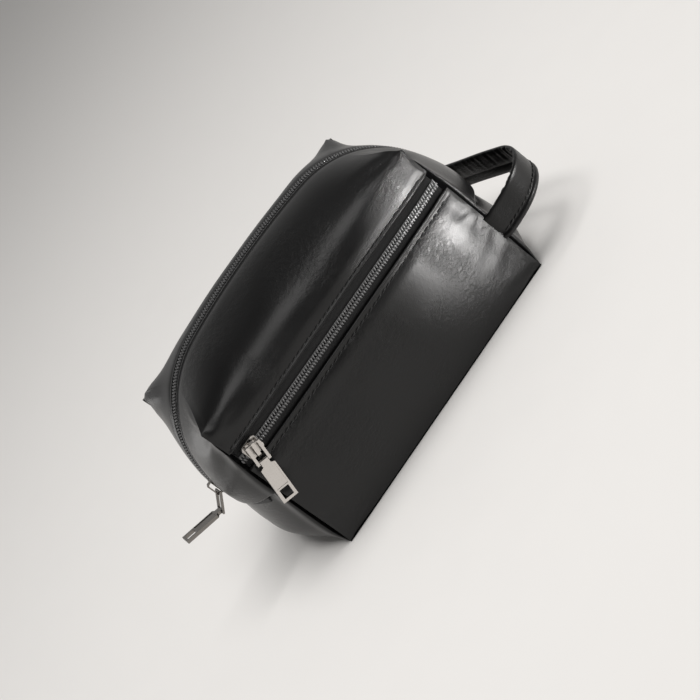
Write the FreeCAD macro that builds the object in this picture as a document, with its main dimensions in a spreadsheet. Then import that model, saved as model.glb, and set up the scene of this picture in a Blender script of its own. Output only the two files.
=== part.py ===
import FreeCAD, Part
import math
import os

import Sketcher
from FreeCAD import Placement, Rotation, Vector

# Boxed-corner toiletry bag in padded leather, lying on its base.
# Frame: +Z up, origin at the centre of the base, X along the bag (right end
# positive), front face with the zipped pocket towards -Y.  Millimetres.

SIZES = {
    # bag outline
    "bag_length": 240.0,        # between the boxed corners, along X
    "bag_width": 135.0,         # between the boxed corners, along Y
    "end_reach": 141.0,         # how far each padded end stands out from the middle
    "end_tip": 143.0,           # tip of the end's bulge in plan
    "plan_half_width": 69.5,    # half width at the vertical seams in plan
    "lower_bulge_height": 30.0,
    "corner_center_height": 80.0,
    "corner_radius": 83.5,      # path of the main zip round the top corner
    "crown_radius": 642.0,      # path of the main zip along the top
    "face_radius": 960.0,       # bulge of the front and rear faces
    "face_bulge_height": 62.0,
    "shoulder_radius": 18.0,    # soft fold between face and top
    "roof_radius": 95.0,        # top seen from the end
    # layers, as depth below the outer surface
    "coil_top": 0.3,
    "leather_back": 2.0,
    "coil_bottom": 2.6,
    "tape_front": 2.7,
    "tape_back": 3.4,
    "padding_back": 4.4,
    "pocket_front": 4.6,
    "pocket_front_inside": 5.1,
    "pocket_back_inside": 5.9,
    "pocket_back": 6.4,
    "lining_front": 6.6,
    "lining_back": 7.2,
    # seams
    "end_seam_height": 72.0,    # level seam across each end
    "slit_top": 138.0,          # top of the vertical seams
    "seam_gap": 0.4,
    # limits of the regions that cut the layers into panels
    "beyond": 200.0,            # outside the bag in any direction
    "wall_inside": 45.0,        # half width that only the long walls reach past
    "plan_cut": 0.7,            # share of the end's bow kept in plan
    # zips
    "main_lip": 6.0,            # centreline of the main zip to the leather's edge
    "tape_half": 14.0,
    "chain_half": 3.1,          # half width of the closed coils
    "coil_split": 0.45,         # half of the gap between the two coils
    "main_zip_foot": 72.5,      # lower ends of the main zip
    "pocket_zip_height": 103.0,
    "pocket_zip_half": 119.0,   # half length of the pocket zip
    "lip_above": 10.0,
    "lip_below": 8.0,
    "row_above": 12.0,          # stitch rows beside the pocket zip
    "row_below": 12.4,
    "row_half": 116.0,
    "thread_radius": 0.4,
    "thread_gap": 0.05,
    # inner pieces
    "padding_half_length": 108.0,
    "padding_low": 8.0,
    "front_padding_high": 85.0,
    "rear_padding_high": 128.0,
    "binding_start": 112.0,
    "binding_side": 58.0,
    "binding_high": 88.0,
    "end_binding_half": 50.0,
    "end_binding_low": 60.0,
    "end_binding_high": 71.0,
    "lining_mouth": 8.0,        # half width of the lining's opening
    "pocket_half_length": 104.0,
    "pocket_low": 12.0,
    "pocket_high": 92.0,
    "board_half_length": 104.0,
    "board_half_width": 56.0,
    "board_corner": 12.0,
    # slider
    "slider_length": 14.0,
    "slider_half": 5.0,
    "pocket_slider_half": 6.4,
    "slider_top": 1.5,
    "slider_under": 0.1,
    "flange_inner": 3.6,
    "flange_drop": 2.4,
    "web_half": 0.3,
    "lower_top": 3.8,
    "lower_bottom": 5.1,
    "lower_half": 4.4,
    "slider_corner": 2.4,
    "slider_chamfer": 0.5,
    "bail_gap": 0.02,
    "bail_half": 1.3,
    "bail_reach": 6.3,
    "bail_rise": 4.2,           # top of the opening, main zip
    "pocket_bail_rise": 7.2,    # top of the opening, pocket zip
    "bar_drop": 1.35,           # link's bar below the top of the opening
    "bail_wall": 1.1,
    "bail_slope": 1.5,          # outer corners of the arch
    "bail_slope_inside": 0.8,
    "bar_shift": 3.7,           # link's bar, from the middle of the slider
    # pull
    "link_length": 16.9,
    "link_half": 5.85,
    "link_bar_radius": 0.85,
    "link_arm": 2.1,
    "link_thick": 1.8,
    "pin_offset": 13.8,         # link bar's axis to pin axis
    "pin_radius": 0.8,
    "pin_play": 0.05,
    "pin_gap": 0.01,
    "pin_head": 0.3,            # how far the rivet stands out at each side
    "plate_length": 34.0,       # pin axis to free end
    "plate_half": 6.1,
    "plate_thick": 2.5,
    "neck_half": 3.3,
    "neck_start": -1.15,
    "neck_length": 4.0,
    "neck_round": 1.1,
    "shoulder_run": 1.4,
    "panel_gap": 2.2,           # from the neck to the sunk panel
    "plate_border": 1.3,
    "plate_recess": 0.4,
    "window_side": 7.6,
    "window_edge": 2.0,
    # handle
    "strap_width": 25.0,
    "strap_thick": 3.4,
    "strap_wall": 0.9,
    "core_gap": 0.1,
    "strap_start": 120.3,
    "strap_height": 46.5,       # middle of the strap above the base
    "strap_seam_y": 71.6,       # middle of the strap at the vertical seams
    "strap_run": 143.0,         # end of the straight front leg
    "strap_bend": 36.0,
    "strap_return_x": 151.0,
    "strap_return_y": 50.0,
    "strap_tail_bend": 16.0,
    "flex_x": 121.0,            # line about which the strap swings
    "tab_radius": 13.1,
    "flex_radius": 13.5,
}

# rest positions
MAIN_SLIDER_REST = 0.8          # degrees above the level of the corner's centre
POCKET_SLIDER_REST = -106.0     # X of the pocket slider
MAIN_LINK_REST = 45.0           # degrees the main link hangs below level
MAIN_PLATE_REST = 15.0          # degrees the main plate stands above level
POCKET_LEAN = 17.5              # degrees the pocket pull leans to the left

FAR = 400.0                     # longer than the bag in any direction
PARTS_FOLDER = "parts"

doc = FreeCAD.newDocument("toiletry_bag")
sheet = doc.addObject("Spreadsheet::Sheet", "Sizes")
for row, (alias, value) in enumerate(SIZES.items(), start=1):
    sheet.set("A%d" % row, alias)
    sheet.set("B%d" % row, str(value))
    sheet.setAlias("B%d" % row, alias)
doc.recompute()

finished = []


def size(alias):
    return float(sheet.get(alias))


def named(text):
    """Turn bare cell names in an expression into references to the sheet."""
    words = []
    word = ""
    for letter in text + " ":
        if letter.isalpha() or letter == "_" or (word and letter.isdigit()):
            word += letter
            continue
        words.append("Sizes." + word if word in SIZES else word)
        words.append(letter)
        word = ""
    return "".join(words).strip()


def value_of(text):
    result = sheet.evalExpression(named(text))
    return float(getattr(result, "Value", result))


def keep(item, label):
    """Mark an object as a finished sub-part and give it its name."""
    item.Label = label
    finished.append(item)
    return item


# ---------------------------------------------------------------- sketch helpers

def bind(sketch, text, kind, *refs):
    """Add a dimension whose value is an expression on the sheet."""
    number = value_of(text)
    index = sketch.addConstraint(Sketcher.Constraint(kind, *refs, number))
    sketch.setExpression("Constraints[%d]" % index, named(text))


def pin_point(sketch, item, end, x_text, y_text):
    """Hold one end of a line or arc at a dimensioned place."""
    for kind, text, axis in (("DistanceX", x_text, -2), ("DistanceY", y_text, -1)):
        if text == "0":
            sketch.addConstraint(Sketcher.Constraint("PointOnObject", item, end, axis))
        else:
            bind(sketch, text, kind, -1, 1, item, end)


def polygon(sketch, corners):
    """Closed outline through corners given as pairs of expressions."""
    spots = [Vector(value_of(x), value_of(y), 0) for x, y in corners]
    count = len(spots)
    first = sketch.GeometryCount
    for index in range(count):
        line = Part.LineSegment(spots[index], spots[(index + 1) % count])
        sketch.addGeometry(line)
    for index in range(count):
        following = first + (index + 1) % count
        joint = Sketcher.Constraint("Coincident", first + index, 2, following, 1)
        sketch.addConstraint(joint)
        pin_point(sketch, first + index, 1, *corners[index])


def circle(sketch, x_text, y_text, radius_text):
    center = Vector(value_of(x_text), value_of(y_text), 0)
    ring = Part.Circle(center, Vector(0, 0, 1), value_of(radius_text))
    index = sketch.addGeometry(ring)
    pin_point(sketch, index, 3, x_text, y_text)
    bind(sketch, radius_text, "Radius", index)


def arc(sketch, center, radius, start_deg, end_deg):
    ring = Part.Circle(Vector(center[0], center[1], 0), Vector(0, 0, 1), radius)
    bow = Part.ArcOfCircle(ring, math.radians(start_deg), math.radians(end_deg))
    return sketch.addGeometry(bow)


def line(sketch, start, end):
    stroke = Part.LineSegment(Vector(start[0], start[1], 0), Vector(end[0], end[1], 0))
    return sketch.addGeometry(stroke)


def join(sketch, first, first_end, second, second_end, smooth=False):
    kind = "Tangent" if smooth else "Coincident"
    joint = Sketcher.Constraint(kind, first, first_end, second, second_end)
    sketch.addConstraint(joint)


def on_circle(center, radius, degrees):
    angle = math.radians(degrees)
    return (center[0] + radius * math.cos(angle), center[1] + radius * math.sin(angle))


def heading(origin, target):
    return math.degrees(math.atan2(target[1] - origin[1], target[0] - origin[0]))


def free_sketch(name, x_axis, y_axis):
    sketch = doc.addObject("Sketcher::SketchObject", name)
    normal = x_axis.cross(y_axis)
    sketch.Placement = Placement(Vector(), Rotation(x_axis, y_axis, normal, "ZXY"))
    return sketch


# ------------------------------------------------------------ outline of the bag

def side_outline():
    """Outline in XZ: base, bulging ends, zip path round the corners and crown."""
    sketch = free_sketch("side_outline", Vector(1, 0, 0), Vector(0, 0, 1))
    half = size("bag_length") / 2
    reach = size("end_reach")
    low = size("lower_bulge_height")
    level = size("corner_center_height")
    corner = size("corner_radius")
    crown = size("crown_radius")
    step = reach - half
    bulge = (step ** 2 + low ** 2) / (2 * step)
    inset = reach - corner
    crown_z = level - math.sqrt((crown - corner) ** 2 - inset ** 2)
    turn = heading((0, crown_z), (inset, level))

    base = line(sketch, (-half, 0), (half, 0))
    foot_angle = heading((reach - bulge, low), (half, 0))
    right_foot = arc(sketch, (reach - bulge, low), bulge, foot_angle, 0)
    right_wall = line(sketch, (reach, low), (reach, level))
    right_corner = arc(sketch, (inset, level), corner, 0, turn)
    top = arc(sketch, (0, crown_z), crown, turn, 180 - turn)
    left_corner = arc(sketch, (-inset, level), corner, 180 - turn, 180)
    left_wall = line(sketch, (-reach, level), (-reach, low))
    left_foot = arc(sketch, (bulge - reach, low), bulge, 180, 180 - foot_angle)

    join(sketch, base, 2, right_foot, 1)
    join(sketch, right_foot, 2, right_wall, 1, smooth=True)
    join(sketch, right_wall, 2, right_corner, 1, smooth=True)
    join(sketch, right_corner, 2, top, 1, smooth=True)
    join(sketch, top, 2, left_corner, 1, smooth=True)
    join(sketch, left_corner, 2, left_wall, 1, smooth=True)
    join(sketch, left_wall, 2, left_foot, 1, smooth=True)
    join(sketch, left_foot, 2, base, 1)
    pin_point(sketch, base, 1, "-bag_length / 2", "0")
    pin_point(sketch, base, 2, "bag_length / 2", "0")
    pin_point(sketch, right_wall, 1, "end_reach", "lower_bulge_height")
    pin_point(sketch, left_wall, 2, "-end_reach", "lower_bulge_height")
    bind(sketch, "corner_center_height", "DistanceY", -1, 1, right_wall, 2)
    bind(sketch, "corner_center_height", "DistanceY", -1, 1, left_wall, 1)
    bind(sketch, "corner_radius", "Radius", right_corner)
    bind(sketch, "corner_radius", "Radius", left_corner)
    bind(sketch, "crown_radius", "Radius", top)
    return sketch


def crown_top():
    corner = size("corner_radius")
    crown = size("crown_radius")
    inset = size("end_reach") - corner
    drop = math.sqrt((crown - corner) ** 2 - inset ** 2)
    return size("corner_center_height") - drop + crown


def face_center_y():
    half = size("bag_width") / 2
    return math.sqrt(size("face_radius") ** 2 - size("face_bulge_height") ** 2) - half


def face_depth(height):
    """Y of the front face's outer surface at a height."""
    rise = height - size("face_bulge_height")
    return face_center_y() - math.sqrt(size("face_radius") ** 2 - rise ** 2)


def cross_outline():
    """Outline in YZ: flat base, slightly bulged faces, soft shoulders and roof."""
    sketch = free_sketch("cross_outline", Vector(0, 1, 0), Vector(0, 0, 1))
    half = size("bag_width") / 2
    face = size("face_radius")
    soft = size("shoulder_radius")
    roof = size("roof_radius")
    rear_center = (-face_center_y(), size("face_bulge_height"))
    roof_center = (0.0, crown_top() - roof)
    # centre of the rear shoulder: inside both the face's and the roof's circles
    gap = math.dist(rear_center, roof_center)
    near = face - soft
    far = roof - soft
    along = (near ** 2 - far ** 2 + gap ** 2) / (2 * gap)
    aside = math.sqrt(near ** 2 - along ** 2)
    ux = (roof_center[0] - rear_center[0]) / gap
    uy = (roof_center[1] - rear_center[1]) / gap
    shoulder = (rear_center[0] + along * ux - aside * uy,
                rear_center[1] + along * uy + aside * ux)
    face_start = heading(rear_center, (half, 0))
    face_end = heading(rear_center, shoulder)
    roof_start = heading(roof_center, shoulder)

    base = line(sketch, (-half, 0), (half, 0))
    rear = arc(sketch, rear_center, face, face_start, face_end)
    rear_soft = arc(sketch, shoulder, soft, face_end, roof_start)
    top = arc(sketch, roof_center, roof, roof_start, 180 - roof_start)
    front_soft = arc(sketch, (-shoulder[0], shoulder[1]), soft, 180 - roof_start, 180 - face_end)
    front_center = (-rear_center[0], rear_center[1])
    front = arc(sketch, front_center, face, 180 - face_end, 180 - face_start)

    join(sketch, base, 2, rear, 1)
    join(sketch, rear, 2, rear_soft, 1, smooth=True)
    join(sketch, rear_soft, 2, top, 1, smooth=True)
    join(sketch, top, 2, front_soft, 1, smooth=True)
    join(sketch, front_soft, 2, front, 1, smooth=True)
    join(sketch, front, 2, base, 1)
    pin_point(sketch, base, 1, "-bag_width / 2", "0")
    pin_point(sketch, base, 2, "bag_width / 2", "0")
    bind(sketch, "face_radius", "Radius", rear)
    bind(sketch, "face_radius", "Radius", front)
    bind(sketch, "face_bulge_height", "DistanceY", -1, 1, rear, 3)
    bind(sketch, "face_bulge_height", "DistanceY", -1, 1, front, 3)
    bind(sketch, "shoulder_radius", "Radius", rear_soft)
    bind(sketch, "shoulder_radius", "Radius", front_soft)
    bind(sketch, "roof_radius", "Radius", top)
    return sketch


def plan_outline():
    """Outline in XY: straight long sides and a bowed end on each side."""
    sketch = free_sketch("plan_outline", Vector(1, 0, 0), Vector(0, 1, 0))
    step = size("end_tip") - size("bag_length") / 2
    half = size("plan_half_width")
    bow = (half ** 2 + step ** 2) / (2 * step)
    center = size("end_tip") - bow
    side = bow * size("plan_cut")
    angle = math.degrees(math.asin(size("plan_cut")))
    reach = center + bow * math.cos(math.radians(angle))
    right = arc(sketch, (center, 0), bow, -angle, angle)
    rear = line(sketch, (reach, side), (-reach, side))
    left = arc(sketch, (-center, 0), bow, 180 - angle, 180 + angle)
    front = line(sketch, (-reach, -side), (reach, -side))
    join(sketch, right, 2, rear, 1)
    join(sketch, rear, 2, left, 1)
    join(sketch, left, 2, front, 1)
    join(sketch, front, 2, right, 1)
    step_text = "(end_tip - bag_length / 2)"
    bow_text = "(plan_half_width ^ 2 + %s ^ 2) / (2 * %s)" % (step_text, step_text)
    for bowed, sign in ((right, ""), (left, "-")):
        pin_point(sketch, bowed, 3, "%s(end_tip - %s)" % (sign, bow_text), "0")
        bind(sketch, bow_text, "Radius", bowed)
    for straight, sign in ((rear, ""), (front, "-")):
        sketch.addConstraint(Sketcher.Constraint("Horizontal", straight))
        bind(sketch, "%s(%s) * plan_cut" % (sign, bow_text), "DistanceY", -1, 1, straight, 1)
    return sketch


OUTLINES = (
    (side_outline(), Vector(0, 1, 0)),
    (cross_outline(), Vector(1, 0, 0)),
    (plan_outline(), Vector(0, 0, 1)),
)
doc.recompute()
forms = {}
layers = {}


def form(depth):
    """The bag's solid outline, taken in by a depth named on the sheet."""
    if depth in forms:
        return forms[depth]
    walls = []
    for outline, direction in OUTLINES:
        source = outline
        if depth:
            source = doc.addObject("Part::Offset2D", "inset")
            source.Source = outline
            source.Join = "Intersection"
            source.setExpression("Value", named("-" + depth))
        wall = doc.addObject("Part::Extrusion", "wall")
        wall.Base = source
        wall.DirMode = "Custom"
        wall.Dir = direction
        wall.LengthFwd = FAR
        wall.Symmetric = True
        wall.Solid = True
        walls.append(wall)
    solid = doc.addObject("Part::MultiCommon", "form")
    solid.Shapes = walls
    forms[depth] = solid
    return solid


def layer(front, back):
    """Skin of the bag between two depths."""
    if (front, back) not in layers:
        skin = doc.addObject("Part::Cut", "layer")
        skin.Base = form(front)
        skin.Tool = form(back)
        layers[front, back] = skin
    return layers[front, back]


def block(x_range, y_range, z_range):
    """Box between pairs of expressions, used to mark out a region."""
    box = doc.addObject("Part::Box", "block")
    spans = (("Length", "x", x_range), ("Width", "y", y_range), ("Height", "z", z_range))
    for side, axis, (low, high) in spans:
        box.setExpression(side, named("(%s) - (%s)" % (high, low)))
        box.setExpression("Placement.Base." + axis, named(low))
    return box


def union(items):
    fused = doc.addObject("Part::MultiFuse", "union")
    fused.Shapes = items
    return fused


def common(base, tool):
    shared = doc.addObject("Part::Common", "common")
    shared.Base = base
    shared.Tool = tool
    return shared


def cut(base, tool):
    remainder = doc.addObject("Part::Cut", "cut")
    remainder.Base = base
    remainder.Tool = tool
    return remainder


LEFT = ("-beyond", "-bag_length / 2 - seam_gap / 2")
RIGHT = ("bag_length / 2 + seam_gap / 2", "beyond")
BETWEEN = ("-bag_length / 2 + seam_gap / 2", "bag_length / 2 - seam_gap / 2")
ANYWHERE = ("-beyond", "beyond")
FRONT_SIDE = ("-beyond", "-main_lip")
REAR_SIDE = ("main_lip", "beyond")
FRONT_WALL = ("-beyond", "-wall_inside")
REAR_WALL = ("wall_inside", "beyond")
ABOVE_END_SEAM = ("end_seam_height + seam_gap / 2", "beyond")
BELOW_END_SEAM = ("-beyond", "end_seam_height - seam_gap / 2")
BASE_TOP = "leather_back + seam_gap / 2"


def seam_slits(y_range, z_low):
    """Narrow gaps along the vertical seams at both ends."""
    z_range = (z_low, "slit_top")
    left = block((LEFT[1], BETWEEN[0]), y_range, z_range)
    right = block((BETWEEN[1], RIGHT[0]), y_range, z_range)
    return union([left, right])


# ---------------------------------------------------------------- leather panels

def front_panel():
    region = block(BETWEEN, FRONT_WALL, (BASE_TOP, "pocket_zip_height - lip_below"))
    return common(layer("", "leather_back"), region)


def top_front_panel():
    """Strip above the pocket zip, top and front quarter of both ends, one piece."""
    top = block(ANYWHERE, FRONT_SIDE, ("pocket_zip_height + lip_above", "beyond"))
    left = block(LEFT, FRONT_SIDE, ABOVE_END_SEAM)
    right = block(RIGHT, FRONT_SIDE, ABOVE_END_SEAM)
    shape = common(layer("", "leather_back"), union([top, left, right]))
    return cut(shape, seam_slits(FRONT_WALL, "0"))


def rear_panel():
    """Rear face, top and rear quarter of both ends, one piece."""
    face = block(BETWEEN, REAR_WALL, (BASE_TOP, "pocket_zip_height + lip_above"))
    top = block(ANYWHERE, REAR_SIDE, ("pocket_zip_height + lip_above", "beyond"))
    left = block(LEFT, REAR_SIDE, ABOVE_END_SEAM)
    right = block(RIGHT, REAR_SIDE, ABOVE_END_SEAM)
    shape = common(layer("", "leather_back"), union([face, top, left, right]))
    return cut(shape, seam_slits(REAR_WALL, "0"))


def base_panel():
    """Bottom and the lower flap of both ends, one piece."""
    bottom = block(ANYWHERE, ANYWHERE, ("-beyond", "leather_back"))
    left = block(LEFT, ANYWHERE, BELOW_END_SEAM)
    right = block(RIGHT, ANYWHERE, BELOW_END_SEAM)
    return common(layer("", "leather_back"), union([bottom, left, right]))


# ------------------------------------------------- padding, lining, inner pieces

PADDING_X = ("-padding_half_length", "padding_half_length")


def front_padding():
    region = block(PADDING_X, FRONT_WALL, ("padding_low", "front_padding_high"))
    return common(layer("tape_front", "padding_back"), region)


def rear_padding():
    region = block(PADDING_X, REAR_WALL, ("padding_low", "rear_padding_high"))
    return common(layer("tape_front", "padding_back"), region)


def corner_bindings():
    """Tape over the four vertical seams, inside."""
    strips = []
    for x_range in (("-beyond", "-binding_start"), ("binding_start", "beyond")):
        for y_range in (("-beyond", "-binding_side"), ("binding_side", "beyond")):
            strips.append(block(x_range, y_range, ("padding_low", "binding_high")))
    return common(layer("tape_front", "padding_back"), union(strips))


def end_bindings():
    """Tape along the level seam of each end, inside."""
    y_range = ("-end_binding_half", "end_binding_half")
    z_range = ("end_binding_low", "end_binding_high")
    strips = [block(x_range, y_range, z_range) for x_range in (LEFT, RIGHT)]
    return common(layer("tape_front", "padding_back"), union(strips))


def pocket_bag():
    """Flat lining pouch hanging behind the front panel, open at its top."""
    x_range = ("-pocket_half_length", "pocket_half_length")
    outer = block(x_range, FRONT_WALL, ("pocket_low", "pocket_high"))
    sack = common(layer("pocket_front", "pocket_back"), outer)
    wall = "(pocket_front_inside - pocket_front)"
    inner_x = ("-pocket_half_length + " + wall, "pocket_half_length - " + wall)
    inner = block(inner_x, FRONT_WALL, ("pocket_low + " + wall, "beyond"))
    hollow = common(layer("pocket_front_inside", "pocket_back_inside"), inner)
    return cut(sack, hollow)


def lining():
    """Lining sack of the main compartment, open along the main zip."""
    mouth = block(ANYWHERE, ("-lining_mouth", "lining_mouth"), ABOVE_END_SEAM)
    return cut(layer("lining_front", "lining_back"), mouth)


# -------------------------------------------------------------------------- zips

def main_tape(side):
    edges = ("coil_split", "tape_half") if side > 0 else ("-tape_half", "-coil_split")
    region = block(ANYWHERE, edges, ("main_zip_foot", "beyond"))
    return common(layer("tape_front", "tape_back"), region)


def main_coil(side):
    edges = ("coil_split", "chain_half") if side > 0 else ("-chain_half", "-coil_split")
    region = block(ANYWHERE, edges, ("main_zip_foot", "beyond"))
    return common(layer("coil_top", "coil_bottom"), region)


def pocket_strip(front, back, side, half):
    """Tape or coil of the pocket zip, above (+1) or below (-1) its centreline."""
    middle = "pocket_zip_height"
    if side > 0:
        z_range = (middle + " + coil_split", middle + " + " + half)
    else:
        z_range = (middle + " - " + half, middle + " - coil_split")
    region = block(("-pocket_zip_half", "pocket_zip_half"), FRONT_WALL, z_range)
    return common(layer(front, back), region)


def stitch_row(height_text):
    """Sewing thread lying on the front face, as one straight run."""
    row = doc.addObject("Part::Cylinder", "row")
    row.setExpression("Radius", named("thread_radius"))
    row.setExpression("Height", named("2 * row_half"))
    face_text = ("sqrt(face_radius ^ 2 - face_bulge_height ^ 2) - bag_width / 2"
                 " - sqrt(face_radius ^ 2 - (%s - face_bulge_height) ^ 2)"
                 " - thread_radius - thread_gap" % height_text)
    row.Placement = Placement(Vector(), Rotation(Vector(0, 1, 0), 90))
    row.setExpression("Placement.Base.x", named("-row_half"))
    row.setExpression("Placement.Base.y", named(face_text))
    row.setExpression("Placement.Base.z", named(height_text))
    return row


# -------------------------------------------------------- PartDesign body helpers

def new_body(name):
    return doc.addObject("PartDesign::Body", name)


def body_sketch(body, role, offset=0.0):
    """Sketch on one of the body's own origin planes, moved along its normal."""
    sketch = body.newObject("Sketcher::SketchObject", body.Name + "_sketch")
    plane = [item for item in body.Origin.OriginFeatures if item.Role == role][0]
    sketch.AttachmentSupport = [(plane, "")]
    sketch.MapMode = "FlatFace"
    sketch.AttachmentOffset = Placement(Vector(0, 0, offset), Rotation())
    return sketch


def pad(body, sketch, length_text, middle=False):
    feature = body.newObject("PartDesign::Pad", body.Name + "_pad")
    feature.Profile = sketch
    feature.setExpression("Length", named(length_text))
    feature.Midplane = middle
    doc.recompute()
    return feature


def pocket(body, sketch, length_text, middle=False, reverse=False):
    """Cut a pocket and make sure that it removed material."""
    before = body.Shape.Volume
    feature = body.newObject("PartDesign::Pocket", body.Name + "_pocket")
    feature.Profile = sketch
    feature.setExpression("Length", named(length_text))
    feature.Midplane = middle
    feature.Reversed = reverse
    doc.recompute()
    if body.Shape.Volume > before - 0.01:
        raise RuntimeError("pocket removed nothing from " + body.Name)
    return feature


def edges_where(shape, test):
    """Names of the straight edges for which test(middle, direction, length) holds."""
    names = []
    for index, edge in enumerate(shape.Edges, start=1):
        if len(edge.Vertexes) != 2 or edge.Curve.TypeId != "Part::GeomLine":
            continue
        start, end = (vertex.Point for vertex in edge.Vertexes)
        run = end - start
        middle = (start + end) * 0.5
        if test(middle, run * (1 / run.Length), run.Length):
            names.append("Edge%d" % index)
    return names


def round_edges(body, radius_text, test, kind="PartDesign::Fillet"):
    base = body.Tip
    feature = body.newObject(kind, body.Name + "_edge")
    feature.Base = (base, edges_where(base.Shape, test))
    where = "Radius" if kind.endswith("Fillet") else "Size"
    feature.setExpression(where, named(radius_text))
    doc.recompute()
    return feature


def mirrored(points):
    """Add the mirror image, across the vertical axis, of a right-hand outline."""
    flipped = []
    for x_text, y_text in reversed(points):
        flipped.append(("-(%s)" % x_text, y_text))
    return points + flipped


# ------------------------------------------------------------------ inner board

def base_board():
    body = new_body("base_board_body")
    sketch = body_sketch(body, "XY_Plane", size("tape_front"))
    polygon(sketch, [("-board_half_length", "-board_half_width"),
                     ("board_half_length", "-board_half_width"),
                     ("board_half_length", "board_half_width"),
                     ("-board_half_length", "board_half_width")])
    pad(body, sketch, "padding_back - tape_front")
    round_edges(body, "board_corner", lambda middle, run, length: abs(run.z) > 0.9)
    return body


# -------------------------------------------------------------- sliders and pulls
# Slider frame: X along the zip, Y across it, Z outwards, origin on the leather's
# surface at the middle of the chain.

def slider_body(name, half_text):
    """Two plates joined by a web, with flanges that hold the coils between them."""
    body = new_body(name)
    sketch = body_sketch(body, "YZ_Plane")
    polygon(sketch, mirrored([
        ("web_half", "-lower_top"),
        ("web_half", "-slider_under"),
        ("flange_inner", "-slider_under"),
        ("flange_inner", "-flange_drop"),
        (half_text, "-flange_drop"),
        (half_text, "slider_top"),
    ]) + mirrored([
        ("-lower_half", "-lower_top"),
        ("-lower_half", "-lower_bottom"),
    ]))
    pad(body, sketch, "slider_length", middle=True)
    top = size("slider_top")
    half = size(half_text)

    def upright_corner(middle, run, length):
        return abs(run.z) > 0.9 and abs(abs(middle.y) - half) < 0.01

    def top_side(middle, run, length):
        return abs(middle.z - top) < 0.01 and length > 2

    round_edges(body, "slider_corner", upright_corner)
    round_edges(body, "slider_chamfer", top_side, "PartDesign::Chamfer")
    return body


def slider_bail(name, rise):
    """Arch on top of the slider that holds the pull's link."""
    body = new_body(name)
    sketch = body_sketch(body, "XZ_Plane")
    foot = "slider_top + bail_gap"
    inner = "bail_reach - bail_wall"
    top = rise + " + bail_wall"
    outside = mirrored([
        (inner, foot),
        ("bail_reach", foot),
        ("bail_reach", top + " - bail_slope"),
        ("bail_reach - bail_slope", top),
    ])
    inside = mirrored([
        (inner, rise + " - bail_slope_inside"),
        (inner + " - bail_slope_inside", rise),
    ])
    polygon(sketch, outside + inside[::-1])
    pad(body, sketch, "2 * bail_half", middle=True)
    return body


# Pull frame: X from the link's bar towards the free end, Y across, Z thickness.

def pull_link(name):
    """Ring: a round bar that sits under the bail and two arms that carry the pin."""
    body = new_body(name)
    bar = body_sketch(body, "XZ_Plane")
    circle(bar, "0", "0", "link_bar_radius")
    pad(body, bar, "2 * link_half", middle=True)
    tip = "link_length - link_bar_radius"
    inner = "link_half - link_arm"
    for sign in ("", "-"):
        arm = body_sketch(body, "XY_Plane")
        polygon(arm, [
            ("0", "%s(%s)" % (sign, inner)),
            (tip, "%s(%s)" % (sign, inner)),
            (tip, sign + "link_half"),
            ("0", sign + "link_half"),
        ])
        pad(body, arm, "link_thick", middle=True)
    far_end = size("link_length") - size("link_bar_radius")

    def arm_end(middle, run, length):
        return abs(run.y) > 0.9 and abs(middle.x - far_end) < 0.01

    round_edges(body, "link_bar_radius", arm_end)
    holes = body_sketch(body, "XZ_Plane")
    circle(holes, "pin_offset", "0", "pin_radius")
    pocket(body, holes, "4 * link_half", middle=True)
    return body


def pull_pin(name):
    """Rivet through the link's arms and the plate's neck."""
    body = new_body(name)
    sketch = body_sketch(body, "XZ_Plane")
    circle(sketch, "pin_offset", "0", "pin_radius - pin_gap")
    pad(body, sketch, "2 * (link_half + pin_head)", middle=True)
    return body


def pull_plate(name):
    """Plate with a neck on the pin, a sunk panel and a square window."""
    body = new_body(name)
    sketch = body_sketch(body, "XY_Plane")
    shoulder = "neck_length"
    polygon(sketch, [
        ("neck_start", "-neck_half"),
        (shoulder, "-neck_half"),
        (shoulder + " + shoulder_run", "-plate_half"),
        ("plate_length", "-plate_half"),
        ("plate_length", "plate_half"),
        (shoulder + " + shoulder_run", "plate_half"),
        (shoulder, "neck_half"),
        ("neck_start", "neck_half"),
    ])
    pad(body, sketch, "plate_thick", middle=True)
    near_end = size("neck_start")

    def neck_end(middle, run, length):
        return abs(run.y) > 0.9 and abs(middle.x - near_end) < 0.01

    round_edges(body, "neck_round", neck_end)

    window = body_sketch(body, "XY_Plane")
    window_start = "plate_length - window_edge - window_side"
    polygon(window, [
        (window_start, "-window_side / 2"),
        ("plate_length - window_edge", "-window_side / 2"),
        ("plate_length - window_edge", "window_side / 2"),
        (window_start, "window_side / 2"),
    ])
    pocket(body, window, "2 * plate_thick", middle=True)

    for side in (1, -1):
        height = side * (size("plate_thick") / 2 - size("plate_recess"))
        panel = body_sketch(body, "XY_Plane", height)
        panel_start = shoulder + " + panel_gap"
        panel_end = window_start + " - plate_border"
        polygon(panel, [
            (panel_start, "-plate_half + plate_border"),
            (panel_end, "-plate_half + plate_border"),
            (panel_end, "plate_half - plate_border"),
            (panel_start, "plate_half - plate_border"),
        ])
        pocket(body, panel, "plate_thick", reverse=side > 0)

    bore = body_sketch(body, "XZ_Plane")
    circle(bore, "0", "0", "pin_radius + pin_play")
    pocket(body, bore, "4 * plate_half", middle=True)
    return body


def axes_placement(origin, x_axis, y_axis):
    normal = x_axis.cross(y_axis)
    return Placement(origin, Rotation(x_axis, y_axis, normal, "ZXY"))


def bar_height(rise):
    """Height of the link's bar above the leather, near the top of the bail's opening."""
    return size(rise) - size("bar_drop")


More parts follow.
